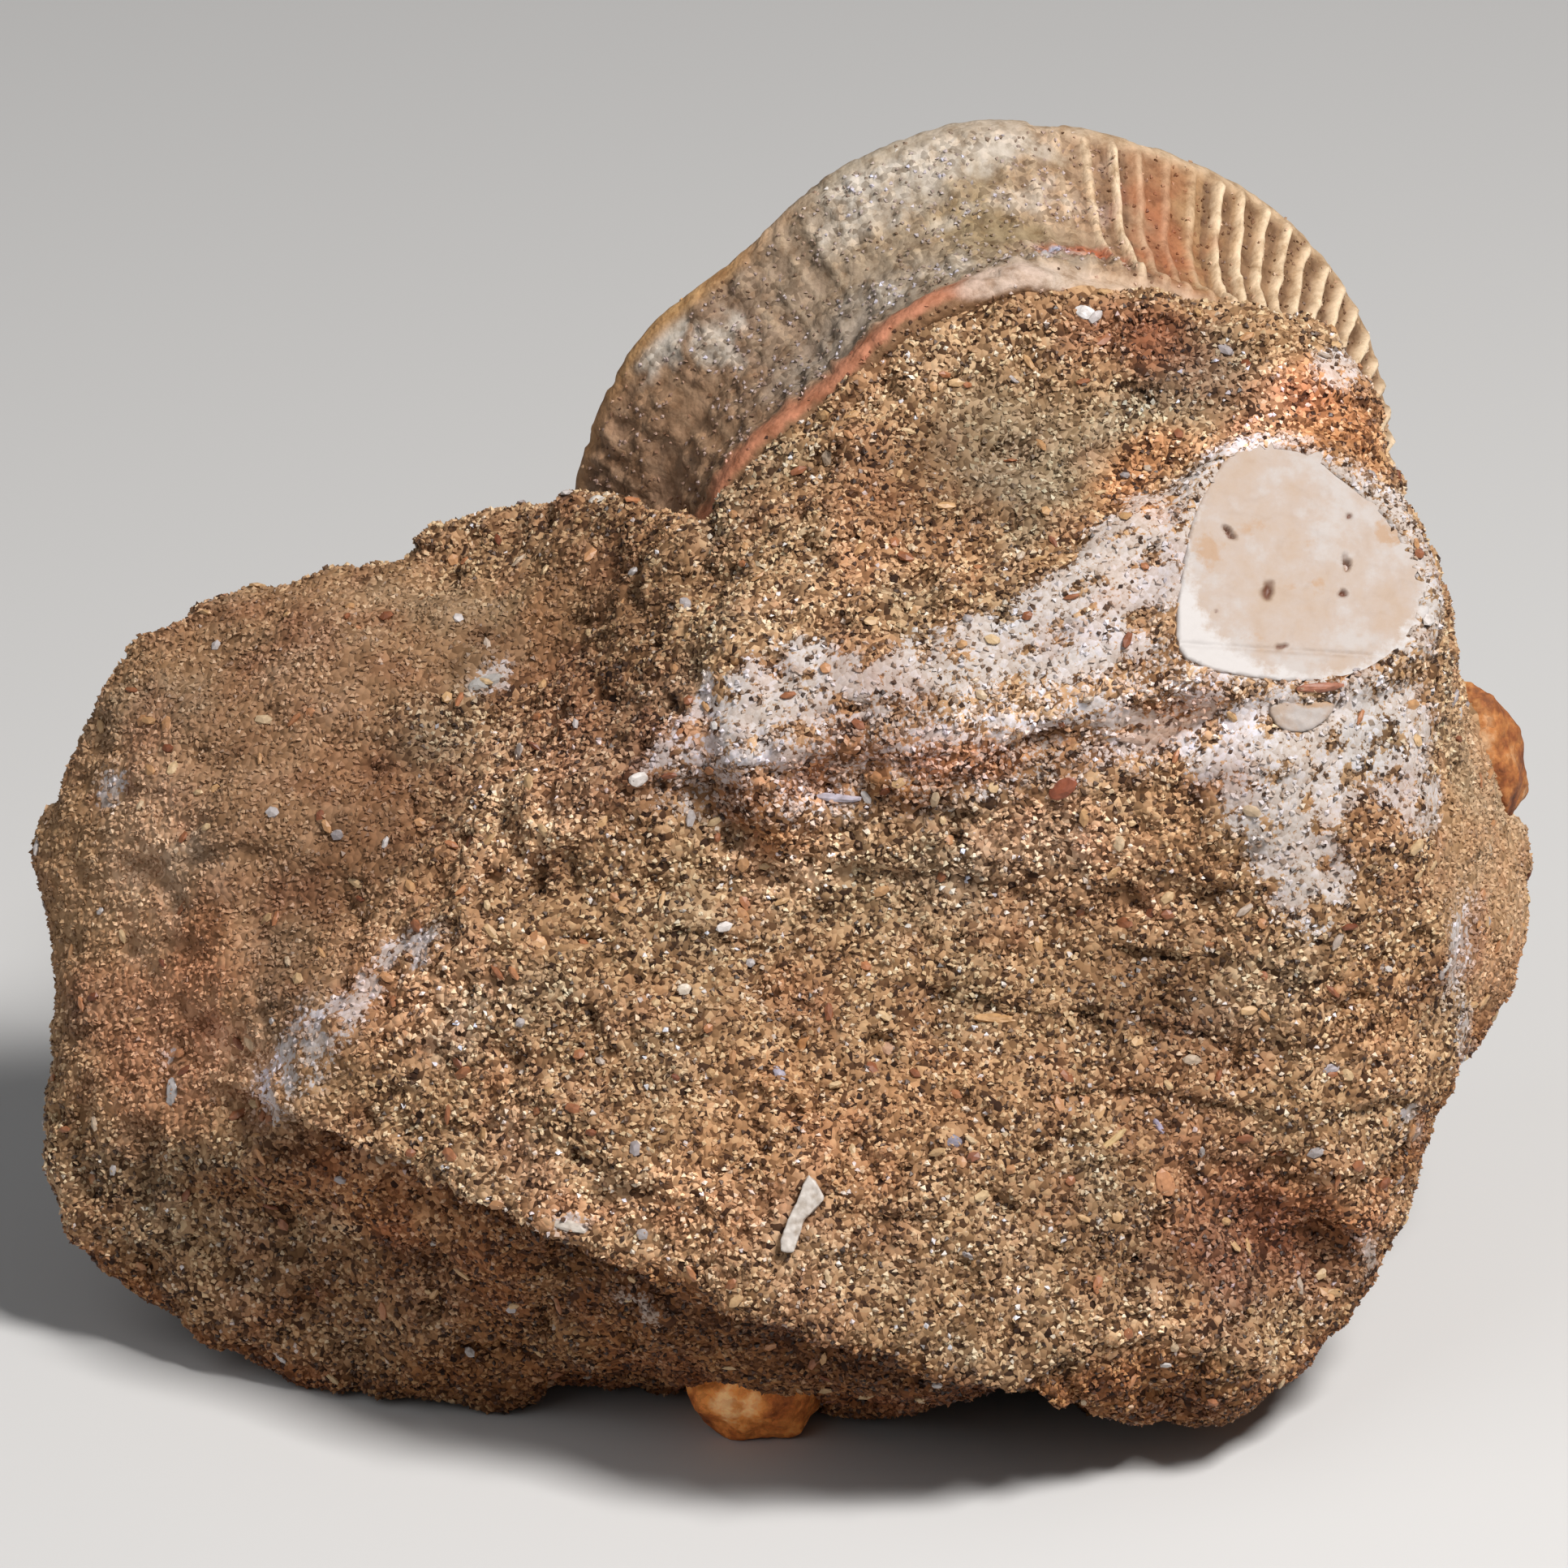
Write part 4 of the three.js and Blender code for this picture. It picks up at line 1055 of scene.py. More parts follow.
# %% [markdown]
# A few splinters, pebbles and crumbs of shell are large enough to catch the eye, and each has its own place.
# Each is a ball squashed to a flat oval, set on the skin by a ray and turned to lie along it. All are joined
# in one mesh, because nobody would take them out one by one.

# %% Bits large enough to pick out
BIT_HALF_THICKNESS = 0.22
BIT_RELIEF = 0.12
BITS = [  # across, up, half length, half width, turn, colour
    (34.8, 6.3, 1.7, 0.30, 4, "#94604a"),
    (22.6, 2.9, 1.1, 0.4, -10, "#a98f80"),
    (18.1, -0.3, 1.1, 0.6, 30, "#83472f"),
    (3.2, -0.9, 1.9, 0.28, -5, "#a9a2ad"),
    (-9.5, 0.3, 0.7, 0.5, 0, "#c2bcb8"),
    (-35.3, -17.2, 0.75, 0.6, 0, "#c9aa88"),
    (-6.5, -13.4, 0.5, 0.4, 20, "#cbbfb0"),
    (-16.3, -10.2, 0.9, 0.5, -20, "#bf966e"),
    (19.9, 31.1, 0.8, 0.5, -20, "#c6c3c3"),
    (-12.5, 19.0, 0.6, 0.45, 0, "#b9b2aa"),
    (1.2, -16.8, 0.85, 0.6, 60, "#b07b4b"),
    (6.8, -17.2, 0.9, 0.5, -40, "#b9957c"),
    (13.8, -15.3, 1.5, 0.36, -5, "#b78f62"),
    (21.3, -23.4, 1.4, 0.26, 50, "#b99e72"),
    (24.9, -26.1, 1.0, 0.65, -60, "#b5815b"),
    (11.0, -23.2, 0.6, 0.45, 0, "#7f7b89"),
    (-0.3, -18.8, 0.7, 0.35, -60, "#9a94a1"),
    (24.5, -22.4, 0.7, 0.26, -60, "#9890a4"),
    (-40.8, -20.5, 1.0, 0.45, 80, "#a9a4a4"),
    (-19.8, 6.8, 1.3, 0.5, 20, "#96928e"),
    (-14.4, -28.6, 1.7, 0.4, -20, "#b9b0a6"),
    (35.9, -18.6, 0.8, 0.4, 10, "#9f979d"),
]
skin_tree = BVHTree.FromPolygons(rock.tolist(), quads.tolist())
bits = bmesh.new()
for across, up, long, wide, turned_by, code in BITS:
    place, normal, _, _ = skin_tree.ray_cast(Vector(face_point(across, up, FAR)), Vector(-OUTWARD))
    angle = math.radians(turned_by)
    lengthwise = Vector((1, 0, 0)) * math.cos(angle) + Vector(UPWARD) * math.sin(angle)
    lengthwise = (lengthwise - normal * lengthwise.dot(normal)).normalized()
    turn_to = Matrix((lengthwise, normal.cross(lengthwise), normal)).transposed().to_4x4()
    size = Matrix.Diagonal((long, wide, BIT_HALF_THICKNESS, 1))
    placed = Matrix.Translation(place) @ turn_to @ size
    bmesh.ops.create_icosphere(bits, subdivisions=2, radius=1, matrix=placed)
bits_mesh = bpy.data.meshes.new("picked_bits")
bits.to_mesh(bits_mesh)
bits.free()
points, away = points_and_normals(bits_mesh)
points += away * BIT_RELIEF * rough(points, 0.5, 2, 190.0)[:, None]
bits_mesh.vertices.foreach_set("co", (points * MM).reshape(-1))
bit_colours = np.repeat([linear(code) for *_, code in BITS], len(points) // len(BITS), axis=0)
store(bits_mesh, "bit_colour", with_alpha(bit_colours))

bit_finish, tree, shader, here = new_finish("picked_bits")
shaded = ramp(tree, noisy(tree, here, 2200.0, 4.0), [(0.3, (0.65, 0.6, 0.56)), (0.6, (1.1, 1.1, 1.1))])
dress(tree, shader, mix_colour(tree, 0.8, kept_colour(tree, "bit_colour"), shaded, "MULTIPLY"), 0.5)
bits_mesh.materials.append(bit_finish)
picked = new_object("picked_bits", bits_mesh)
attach(picked, "root")
print(picked.name, len(bits_mesh.polygons), "triangles")

# %% [markdown]
# ## The vertebra
# A centrum is a turned shape, so it is built like one: a profile runs from the middle of the front cup over
# the front lip, along the wall, over the rear lip and down into the rear cup, and is carried round the axis.
# What makes it a shark's is laid on as heights over that grid: the thin ribs of the wall with rows of dimples
# between them, growth rings in the cup, and a crust of sand where nobody cleaned it.
#
# Modelling each rib as a mesh of its own would give crisper edges, but real ribs grow out of the wall in a
# soft curve, and heights give that curve at once.

# %% The turned grid
RIB_COUNT = 88
SIDES = RIB_COUNT * 9
PROFILE = [  # radius, distance along the axis from the rear rim, row spacing up to the next
    (0.02, -13.0, 6.0),
    (23.2, -17.4, 0.4),
    (24.4, -18.0, 0.4),
    (25.4, -17.3, 0.4),
    (25.4, -16.4, 0.42),
    (24.2, -13.0, 0.42),
    (25.2, -8.2, 0.42),
    (29.2, -1.9, 0.42),
    (29.2, -0.7, 0.4),
    (28.4, 0.0, 0.4),
    (26.8, -0.4, 0.8),
    (20.4, -3.0, 0.9),
    (11.1, -5.85, 1.1),
    (0.02, -7.5, 1.0),
]
WORN = [  # middle in degrees from the top, half width, share of the radius added by wear
    (-39, 13, -0.06),
    (-3, 10, 0.014),
    (26, 15, -0.012),
    (92, 24, -0.03),
    (150, 9, -0.012),
    (204, 22, -0.02),
]

rows = []
for (r0, y0, spacing), (r1, y1, _) in zip(PROFILE, PROFILE[1:]):
    steps = max(1, math.ceil(math.hypot(r1 - r0, y1 - y0) / spacing))
    share = np.arange(steps)[:, None] / steps
    rows.append(np.array([r0, y0]) * (1 - share) + np.array([r1, y1]) * share)
rows = np.concatenate(rows + [np.array([PROFILE[-1][:2]])])
for _ in range(2):
    rows[1:-1] = 0.25 * rows[:-2] + 0.5 * rows[1:-1] + 0.25 * rows[2:]
slope = np.gradient(rows, axis=0)
lift_way = np.stack([-slope[:, 1], slope[:, 0]], axis=1)
lift_way /= np.linalg.norm(lift_way, axis=1, keepdims=True)
lift_way *= -1 if lift_way[len(rows) // 2, 0] < 0 else 1

turn = np.arange(SIDES) * 2 * math.pi / SIDES
worn = np.ones(SIDES)
for middle, width, share in WORN:
    away = (1 - np.cos(turn - math.radians(middle))) / (1 - math.cos(math.radians(width)))
    worn += share * np.exp(-away)
print("turned grid:", len(rows), "rows of", SIDES)


# %% Heights and places on the disc
def on_disc(radius, along, angle, scale):
    """From the disc's own frame, with its axis level, to millimetres in the part's frame."""
    x, z = radius * np.sin(angle) * scale, radius * np.cos(angle) * scale
    cos, sin = math.cos(DISC_HEADING), math.sin(DISC_HEADING)
    return DISC_CENTRE + np.stack([x * cos - along * sin, x * sin + along * cos, z], axis=-1)


radius = np.repeat(rows[:, :1], SIDES, 1)
along = np.repeat(rows[:, 1:], SIDES, 1)
angle = np.repeat(turn[None], len(rows), 0)
degrees = (np.degrees(angle) + 180) % 360 - 180
grid_points = on_disc(radius, along, angle, worn[None])
flat_points = grid_points.reshape(-1, 3)
shape = radius.shape
fine = rough(flat_points, 1.1, 2, 200.0).reshape(shape)
lumpy = rough(flat_points, 3.0, 3, 210.0).reshape(shape)

outside = np.arange(len(rows))[:, None] < np.argmax(rows[:, 1]) + np.zeros(shape)
wall = smooth(-16.3, -15.0, along) * smooth(-1.6, -3.0, along) * outside * (radius > 23)
front_lip = smooth(-15.0, -16.3, along) * (radius > 22) * outside
rear_lip = smooth(-3.0, -1.6, along) * (radius > 26)
cup = smooth(26.6, 25.6, radius) * ~outside.astype(bool)

print("wall rows:", int((wall[:, 0] > 0).sum()), "cup rows:", int((cup[:, 0] > 0).sum()))

# %% Ribs, dimples, crust and growth rings
RIBS, DIMPLES, CHIPS, RINGS, RAYS = 0.75, 0.3, 0.25, 0.16, 0.07  # millimetres they stand or sink
RING_STEP, DIMPLE_STEP = 1.7, 1.3
LIP_LOWERED = 1.2  # the front lip's right part lies this much lower, under the sand
waver = 0.10 * rough(flat_points, 4.0, 2, 220.0).reshape(shape)
place_in_ribs = degrees / 360 * RIB_COUNT + waver
rib_number = np.round(place_in_ribs)
from_rib = np.abs(place_in_ribs - rib_number)
BARE_RIBS = [  # number from the top, and how far it stands clear of the crust
    (-30, 0),
    (-8, 0.12),
    (2, 0.22),
    (3, 0.6),
    (4, 1),
    (5, 0.4),
    (7, 0.35),
    (8, 1),
    (25, 1),
    (28, 0),
]
bare_rib = np.interp(rib_number, *zip(*BARE_RIBS)) * (0.85 + 0.3 * lumpy)
blade = smooth(0.22, 0.07, from_rib) * wall * np.clip(bare_rib, 0, 1)
groove = (1 - smooth(0.28, 0.14, from_rib)) * wall * np.clip(bare_rib, 0, 1)
dimple = groove * (0.5 + 0.5 * np.cos(2 * math.pi * (along / DIMPLE_STEP + 0.41 * rib_number)))
crusted = wall * smooth(20, 8, degrees) * smooth(-0.35, 0.25, lumpy + 0.2)
chipped = smooth(0.25, 0.6, lumpy) * (rear_lip + front_lip)
sand_edge = 24.4 + 0.7 * smooth(-11, -17, degrees)
sanded_lip = front_lip * smooth(sand_edge + 0.2, sand_edge - 0.2, radius + 0.3 * fine)
rings = np.cos(2 * math.pi * (radius / RING_STEP + 0.4 * lumpy)) * cup * smooth(2, 6, radius)
rays = np.cos(angle * RIB_COUNT) * cup * smooth(8, 16, radius)

lift = RIBS * blade - DIMPLES * dimple + crusted * (0.25 + 0.3 * fine) + 0.10 * fine - CHIPS * chipped
lift += RINGS * rings + RAYS * rays + 0.12 * lumpy * (wall + cup)
radius = radius + lift * lift_way[:, :1]
along = along + lift * lift_way[:, 1:]
radius -= LIP_LOWERED * front_lip * smooth(-6, 8, degrees) * smooth(45, 30, degrees)
grid_points = on_disc(radius, along, angle, worn[None])
print("heights from", lift.min().round(2), "to", lift.max().round(2), "mm")

# %% [markdown]
# The bone took up different salts as it lay, so its colour drifts from brown on the left, through grey, to
# orange and tan on the right. Bare ribs are cream and the grooves between them dark. The colours are worked
# out point by point from the angle and the heights, because then each follows its own rib or ring.

# %% Colours of the bone, by angle round the wall
WALL_TONES = [
    (-180, "#8a6a50"),
    (-85, "#81644f"),
    (-60, "#86694f"),
    (-44, "#806a57"),
    (-26, "#94836e"),
    (-6, "#8b7b65"),
    (12, "#a1866c"),
    (22, "#956745"),
    (30, "#9c7853"),
    (36, "#9a7a58"),
    (80, "#9a8065"),
    (110, "#8f7052"),
    (180, "#8a6a50"),
]
RIM_TONES = [(-180, "#a88a68"), (-70, "#9a7450"), (-50, "#b08a5c"), (-38, "#ab8560"), (-20, "#a09381")]
RIM_TONES += [(0, "#a39585"), (15, "#ae967b"), (40, "#b39a7d"), (90, "#ad9070"), (180, "#a88a68")]
LIP_TONES = [(-180, "#a86a48"), (-17, "#ae7458"), (-10, "#ad9484"), (0, "#b1a091"), (10, "#af9781")]
LIP_TONES += [(180, "#a98c74")]
LIP_SAND = linear("#7a5a3e")
CUP_TONE = linear("#b89a78")
CREAM, HOLLOW, SNOW, RUSTY = linear("#d6c0a2"), linear("#674c35"), linear("#b1a99e"), linear("#94492a")
OLIVE, SLATE, BLUISH = linear("#83704f"), linear("#857a6e"), linear("#8f9cb5")
USUAL_GRAIN = linear("#a38763")  # the middle tone of the loose grains, to match them to the wall
DISC_STAINS = [  # colour, strength, degrees, along, half width in degrees, half length
    (RUSTY, 0.8, 9, -12.6, 7, 1.0),
    (RUSTY, 0.35, 24, -8.5, 6, 4.5),
    (OLIVE, 0.6, -5, -9.0, 7, 3.0),
    (SNOW, 0.9, -57, -3.0, 5, 1.6),
    (SNOW, 0.7, -48, -6.0, 3, 2.2),
    (SNOW, 0.7, -18, -4.0, 12, 2.4),
    (SNOW, 0.7, -6, -3.0, 12, 2.0),
    (SLATE, 0.7, -30, -12.0, 16, 3.0),
    (SLATE, 0.5, -3, -14.2, 18, 1.0),
    (BLUISH, 0.9, 5.5, -12.8, 1.2, 0.5),
]


def tone_at(stops, values):
    """Colours between stops of (place, code)."""
    places = [place for place, _ in stops]
    codes = np.array([linear(code) for _, code in stops])
    return np.stack([np.interp(values, places, codes[:, k]) for k in range(3)], axis=-1)


def blend(colours, other, share):
    """Colours drawn towards another by a share that varies over the grid."""
    return colours + share[..., None] * (other - colours)


def from_middle(middle, where, wide, long):
    """0 in the middle of a patch on the wall, 1 at its ragged edge."""
    return np.hypot((shifted - middle) / wide, (along + 1.2 * fine - where) / long)


shifted = degrees + 7 * lumpy
tone = tone_at(WALL_TONES, shifted)
tone = blend(tone, CREAM, 0.95 * blade)
tone = blend(tone, HOLLOW, np.clip(0.8 * groove + 0.3 * dimple, 0, 1))
for colour, strength, middle, where, wide, long in DISC_STAINS:
    tone = blend(tone, colour, strength * wall * smooth(1.3, 0.5, from_middle(middle, where, wide, long)))
tone = blend(tone, tone_at(RIM_TONES, shifted), rear_lip)
tone = blend(tone, tone_at(LIP_TONES, shifted), front_lip)
tone = blend(tone, LIP_SAND, sanded_lip)
tone = blend(tone, CUP_TONE, cup)
tone = blend(tone, SNOW, 0.5 * smooth(0.2, 0.5, lumpy) * crusted * smooth(-40, -20, degrees))
print("stains on the wall:", len(DISC_STAINS))

# %% Build the disc
row, column = np.meshgrid(np.arange(len(rows) - 1), np.arange(SIDES), indexing="ij")
here, beyond = row * SIDES + column, row * SIDES + (column + 1) % SIDES
disc_quads = np.stack([here, beyond, beyond + SIDES, here + SIDES], axis=-1).reshape(-1, 4)
points = grid_points.reshape(-1, 3)
first, last = len(points), len(points) + 1
points = np.concatenate([points, on_disc(np.zeros(2), rows[[0, -1], 1], np.zeros(2), 1)])
around = np.arange(SIDES)
front_fan = np.stack([np.full(SIDES, first), (around + 1) % SIDES, around], axis=1)
rear_fan = front_fan + (len(rows) - 1) * SIDES
rear_fan[:, 0] = last
disc_faces = disc_quads.tolist() + front_fan.tolist() + rear_fan[:, ::-1].tolist()
vertebra = make_object("vertebra_bone", points, disc_faces)
outward = vertebra.data.vertices[int(np.argmax(points[:-2, 2]))].normal.z > 0
if not outward:
    vertebra.data.flip_normals()


def for_points(values, fill=0.0):
    """Adds the two end points to values kept on the grid."""
    flat = values.reshape(first, -1)
    return np.concatenate([flat, np.full((2, flat.shape[1]), fill)]).squeeze()


SAND_PATCHES = [  # share covered, degrees, along, half width in degrees, half length
    (0.9, -5, -9.5, 8, 3.2),
    (0.7, -16, -13.5, 14, 1.6),
    (0.45, -70, -9.0, 22, 6.0),
    (0.8, -84, -12.0, 10, 5.0),
]
disc_cover = 0.5 * crusted + 1.2 * groove * (1 - dimple) + 0.5 * cup * smooth(0.05, 0.4, lumpy) + 0.01
for share, middle, where, wide, long in SAND_PATCHES:
    patch = share * wall * smooth(1.3, 0.6, from_middle(middle, where, wide, long))
    disc_cover = np.maximum(disc_cover, patch * smooth(-0.5, 0.1, fine + lumpy))
disc_cover = np.maximum(disc_cover, sanded_lip)
kept = {"cover": disc_cover, "chalk": 0.35 * crusted, "calm": 0.75 * wall, "crust": crusted}
for name, values in kept.items():
    store(vertebra.data, name, for_points(values))
store(vertebra.data, "tint", for_points(with_alpha(tone / USUAL_GRAIN), 1.0))
store(vertebra.data, "tone", for_points(with_alpha(tone), 1.0))
print("disc:", len(vertebra.data.polygons), "faces")

# %% [markdown]
# Close to, the bone is mottled, and fine crumbs of sand stick to it. Cloudy noise gives the mottling, and the
# shared grain pattern gives the crumbs both their tones and their height.

# %% Finish of the fossil bone
MOTTLES = [(0.36, (0.60, 0.51, 0.42)), (0.5, (1, 1, 1)), (0.64, (1.25, 1.27, 1.33))]
CRUMB_TONES = [(0.0, (0.5, 0.45, 0.4)), (0.5, (1, 1, 1)), (1.0, (1.35, 1.3, 1.25))]
fossil_bone, tree, shader, here = new_finish("fossil_bone")
cloudy = noisy(tree, here, 650.0, 6.0, 0.7)
mottled = mix_colour(tree, 0.8, kept_colour(tree, "tone"), ramp(tree, cloudy, MOTTLES), "MULTIPLY")
crumbs = place_group(tree, grain_height, {"Vector": here, "Grains per metre": 2600.0})
crust_here = maths(tree, "ADD", maths(tree, "MULTIPLY", kept_number(tree, "crust"), 0.7), 0.18)
shown = mix_colour(tree, crust_here, mottled, ramp(tree, crumbs["Chance"], CRUMB_TONES), "MULTIPLY")
coarse = maths(tree, "ADD", maths(tree, "MULTIPLY", crumbs["Height"], 0.35), cloudy)
dress(tree, shader, shown, 0.75, (coarse, 0.55, 0.0003), shine=0.35)
vertebra.data.materials.append(fossil_bone)
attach(vertebra, "root")
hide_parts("vertebra")

# %% Sand left on the disc
wall_sand = run_tree(
    "disc_sand",
    vertebra,
    strew,
    {"Grains per square metre": 3.2e6, "Grain radius": 0.17 * MM, "Seed": 31, "Finish": sand_loose},
)
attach(wall_sand, "root")
print(wall_sand.name, len(wall_sand.data.polygons), "triangles")

# %% [markdown]
# ## The pieces set in the rock
# The rubbed bone, its chip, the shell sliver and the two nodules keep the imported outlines. Each is a copy of
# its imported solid, remeshed into small even squares so that its edges round over a little, then given pits
# and stains of its own. The remesh runs in millimetres, because its smallest step is too coarse in metres.


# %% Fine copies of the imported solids
def finer_copy(name, square, passes):
    """A remeshed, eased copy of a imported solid, as a mesh in millimetres."""
    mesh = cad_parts[name].data.copy()
    points = np.empty(len(mesh.vertices) * 3)
    mesh.vertices.foreach_get("co", points)
    mesh.vertices.foreach_set("co", points / MM)
    working = new_object(name + "_working", mesh)
    weld = working.modifiers.new("weld", "WELD")
    weld.merge_threshold = 0.001
    squares = working.modifiers.new("squares", "REMESH")
    squares.mode = "VOXEL"
    squares.voxel_size = square
    ease = working.modifiers.new("ease", "SMOOTH")
    ease.iterations = passes
    evaluated = working.evaluated_get(bpy.context.evaluated_depsgraph_get())
    made = bpy.data.meshes.new_from_object(evaluated)
    bpy.data.objects.remove(working)
    return made


def set_piece(name, mesh, points, material):
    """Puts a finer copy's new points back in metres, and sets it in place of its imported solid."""
    mesh.vertices.foreach_set("co", (points * MM).reshape(-1))
    mesh.polygons.foreach_set("use_smooth", [True] * len(mesh.polygons))
    mesh.materials.clear()
    mesh.materials.append(material)
    mesh.name = name + "_fine"
    made = new_object(mesh.name, mesh)
    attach(made, "root")
    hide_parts(name)
    print(made.name, len(mesh.polygons), "faces")


# %% [markdown]
# The rubbed bone is a piece of the same kind of cartilage, worn flat with the rock. It is cream, whiter at
# its margin, blotched with amber, and a few holes go into it. The holes are real dents, so that they catch
# the light, and the rest is colour.

# %% The rubbed bone's shape
PITS = [  # across, up, half width, half height, turn, depth
    (29.0, 16.5, 0.55, 0.22, -50, 0.5),
    (36.7, 14.4, 0.16, 0.42, 0, 0.6),
    (31.4, 12.7, 0.3, 0.5, -20, 0.3),
    (36.6, 12.5, 0.18, 0.24, 0, 0.3),
    (37.1, 17.5, 0.16, 0.16, 0, 0.2),
    (28.2, 11.2, 0.18, 0.1, 0, 0.15),
    (32.4, 8.9, 0.3, 0.14, 20, 0.2),
]
BLOTCHES = [  # across, up, half width, half height, turn, strength
    (27.6, 15.2, 1.0, 1.6, 20, 0.9),
    (30.5, 16.8, 1.6, 0.7, 10, 0.7),
    (33.7, 15.8, 1.3, 1.3, 0, 0.5),
    (39.6, 16.4, 1.3, 0.9, -40, 0.9),
    (34.8, 13.0, 0.7, 0.8, 0, 0.8),
    (33.0, 13.0, 0.5, 0.5, 0, 0.6),
    (30.6, 9.6, 1.3, 0.5, 0, 0.6),
    (27.0, 18.2, 0.6, 1.4, -30, 0.5),
    (38.6, 11.0, 1.6, 0.8, 20, 0.35),
]
mesh = finer_copy("bone_fragment", 0.16, 4)
points, away = points_and_normals(mesh)
face = face_frame(points)
torn = face + 0.35 * np.stack([rough(points, 0.8, 2, shift) for shift in (300.0, 310.0, 320.0)], axis=1)
pit = np.zeros(len(points))
depth = np.zeros(len(points))
for across, up, wide, high, turned_by, deep in PITS:
    share = oval(torn, across, up, wide, high, turned_by, 0.5)
    pit = np.maximum(pit, share)
    depth = np.maximum(depth, share * deep)
stained = np.zeros(len(points))
for across, up, wide, high, turned_by, strength in BLOTCHES:
    stained = np.maximum(stained, strength * oval(torn, across, up, wide, high, turned_by, 0.8))
margin = (1 - oval(torn, 34.2, 14.6, 7.9, 7.5, 0, 0.2)) * (1 - 0.7 * smooth(17, 20, face[:, 1]))
groove_line = np.exp(-(((face[:, 1] - 8.6 + 0.06 * (face[:, 0] - 34)) / 0.16) ** 2)) * (face[:, 0] < 40)
points = points + away * (0.05 * rough(points, 1.4, 3, 330.0) - 0.06 * groove_line)[:, None]
points -= BONE_FACE * depth[:, None]

print("holes:", len(PITS), "blotches:", len(BLOTCHES))

# %% The rubbed bone's finish
PEACH, WHITE_BONE, AMBER, BORE = linear("#98826f"), linear("#aea9a7"), linear("#96775a"), linear("#582c12")
CREAMY = [(0.35, PEACH), (0.5, linear("#9a897d")), (0.62, linear("#9f9691"))]
rubbed_bone, tree, shader, here = new_finish("rubbed_bone")
creamy = ramp(tree, noisy(tree, here, 320.0, 5.0, 0.6), CREAMY)
fine_noise = noisy(tree, here, 1500.0, 4.0, 0.7)
whiter = maths(tree, "ADD", kept_number(tree, "margin"), maths(tree, "SUBTRACT", fine_noise, 0.5))
blotched = {
    "Vector": here,
    "Blotches per metre": 1500.0,
    "Amount": maths(tree, "MULTIPLY", kept_number(tree, "stained"), 0.78),
    "Color": mix_colour(tree, ramp(tree, whiter, shade(0.35, 0.7)), creamy, WHITE_BONE),
    "Stain": (*AMBER, 1),
}
shown = mix_colour(tree, kept_number(tree, "pit"), place_group(tree, stain, blotched)["Color"], BORE)
dress(tree, shader, shown, 0.55, (fine_noise, 0.25, 0.0001))
set_piece("bone_fragment", mesh, points, rubbed_bone)
store(mesh, "pit", pit)
store(mesh, "stained", np.maximum(stained, 0.5 * groove_line))
store(mesh, "margin", margin)

# %% [markdown]
# A chip of the same bone lies just below, with nothing bored into it. It takes the same finish, so it only
# needs its own numbers for margin and stain, and it sits a little deeper in the rock.

# %% The chip below it
CHIP_SUNK = 0.35
mesh = finer_copy("bone_chip", 0.12, 9)
points, away = points_and_normals(mesh)
face = face_frame(points)
store(mesh, "pit", np.zeros(len(points)))
store(mesh, "stained", oval(face, 34.6, 5.4, 1.4, 0.5, 0, 0.8))
store(mesh, "margin", np.full(len(points), 0.35))
points += away * 0.06 * rough(points, 0.9, 2, 340.0)[:, None] - CHIP_SUNK * BONE_FACE
set_piece("bone_chip", mesh, points, rubbed_bone)

# %% [markdown]
# The shell sliver is a splinter of a thick shell, chalky white with faint greyish layers.

# %% The sliver of shell
mesh = finer_copy("shell_sliver", 0.09, 3)
points, away = points_and_normals(mesh)
points += away * 0.07 * rough(points, 0.6, 2, 350.0)[:, None]

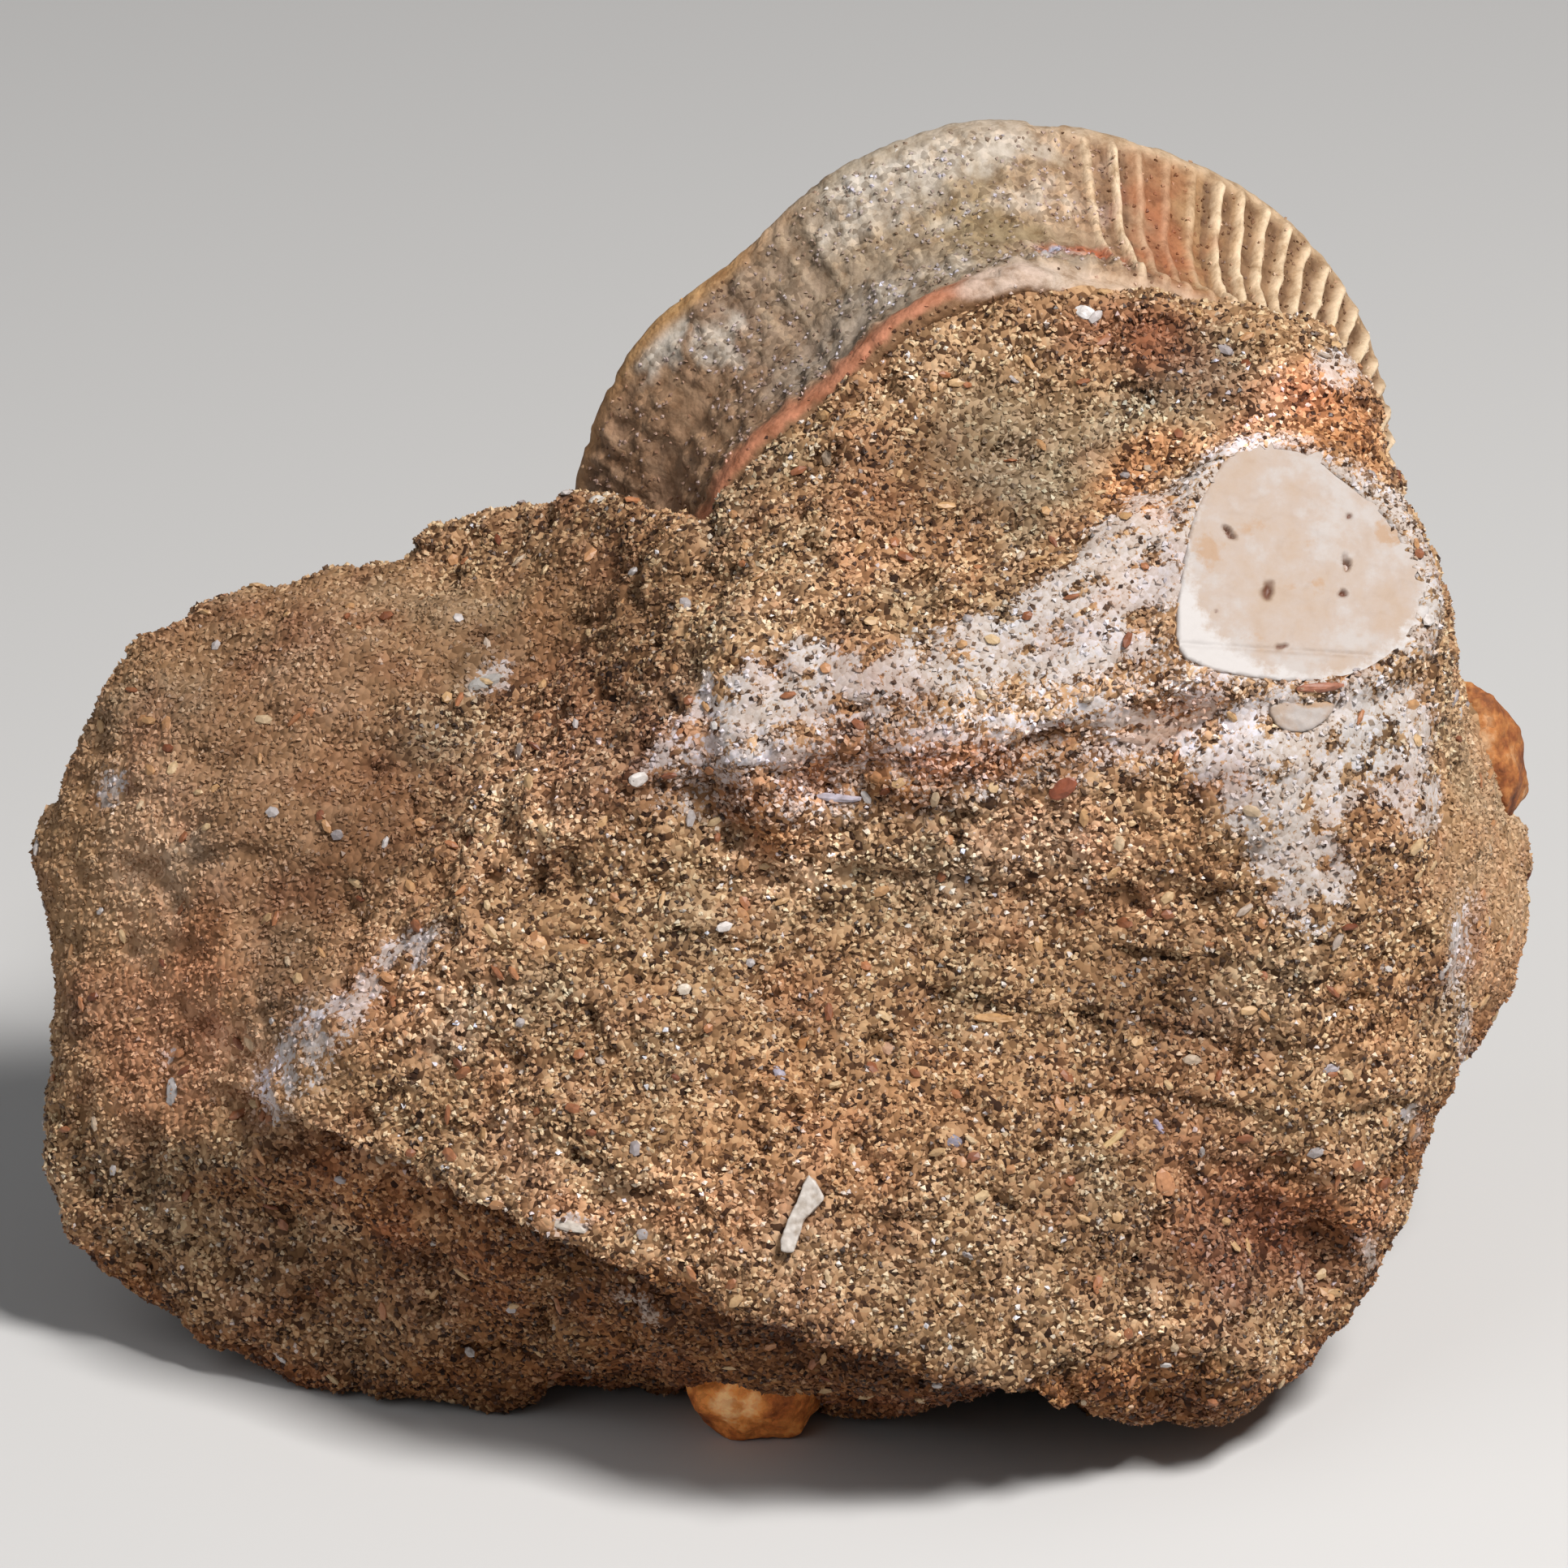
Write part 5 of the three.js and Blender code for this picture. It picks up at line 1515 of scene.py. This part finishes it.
SHELL_TONES = [(0.3, linear("#9a8d80")), (0.5, linear("#b9b0a8")), (0.7, linear("#c9c3bd"))]
white_shell, tree, shader, here = new_finish("white_shell")
layers = noisy(tree, here, 1800.0, 4.0)
dress(tree, shader, ramp(tree, layers, SHELL_TONES), 0.5, (layers, 0.4, 0.0001))
set_piece("shell_sliver", mesh, points, white_shell)

# %% [markdown]
# The two nodules are lumps where iron gathered, rusty orange and brown. Both are rounded by noise and share
# one finish, in which a tint makes the one on the edge darker and paints light on the one under the foot,
# which lies in shade under the overhang.

# %% The rusty nodules
RUST_TONES = [
    (0.30, linear("#5f2f14")),
    (0.44, linear("#a05a2a")),
    (0.56, linear("#c98245")),
    (0.70, linear("#e0b184")),
]
RUST_CRUMBS = [(0.0, (0.6, 0.55, 0.5)), (0.5, (1, 1, 1)), (1.0, (1.25, 1.2, 1.15))]
rusty_nodule, tree, shader, here = new_finish("rusty_nodule")
cloudy = noisy(tree, here, 420.0, 6.0, 0.65)
crumbs = place_group(tree, grain_height, {"Vector": here, "Grains per metre": 2400.0})
speck = ramp(tree, crumbs["Chance"], RUST_CRUMBS)
rusted = mix_colour(tree, 0.5, ramp(tree, cloudy, RUST_TONES), speck, "MULTIPLY")
shown = mix_colour(tree, 1.0, rusted, kept_colour(tree, "tint"), "MULTIPLY")
coarse = maths(tree, "ADD", maths(tree, "MULTIPLY", crumbs["Height"], 0.3), cloudy)
dress(tree, shader, shown, 0.8, (coarse, 0.6, 0.0004))
PALER_TOP = np.array([1.4, 1.85, 2.4])
NODULES = (  # name, shift of its noise, tint
    ("edge_nodule", 360.0, (0.66, 0.66, 0.66)),
    # Painted light: the foot nodule lies in shade under the overhang, so its tint lightens it.
    ("foot_nodule", 370.0, (1.85, 1.75, 1.45)),
)
for name, shift, tint_and_painted_light in NODULES:
    mesh = finer_copy(name, 0.2, 6)
    points, away = points_and_normals(mesh)
    points += away * (0.28 * rough(points, 2.4, 3, shift) - 0.15)[:, None]
    points[:, 2] = np.maximum(points[:, 2], 0)
    paler = smooth(39, 44, points[:, 2])[:, None] * (PALER_TOP - 1)
    store(mesh, "tint", with_alpha(np.array(tint_and_painted_light) * (1 + paler)))
    set_piece(name, mesh, points, rusty_nodule)
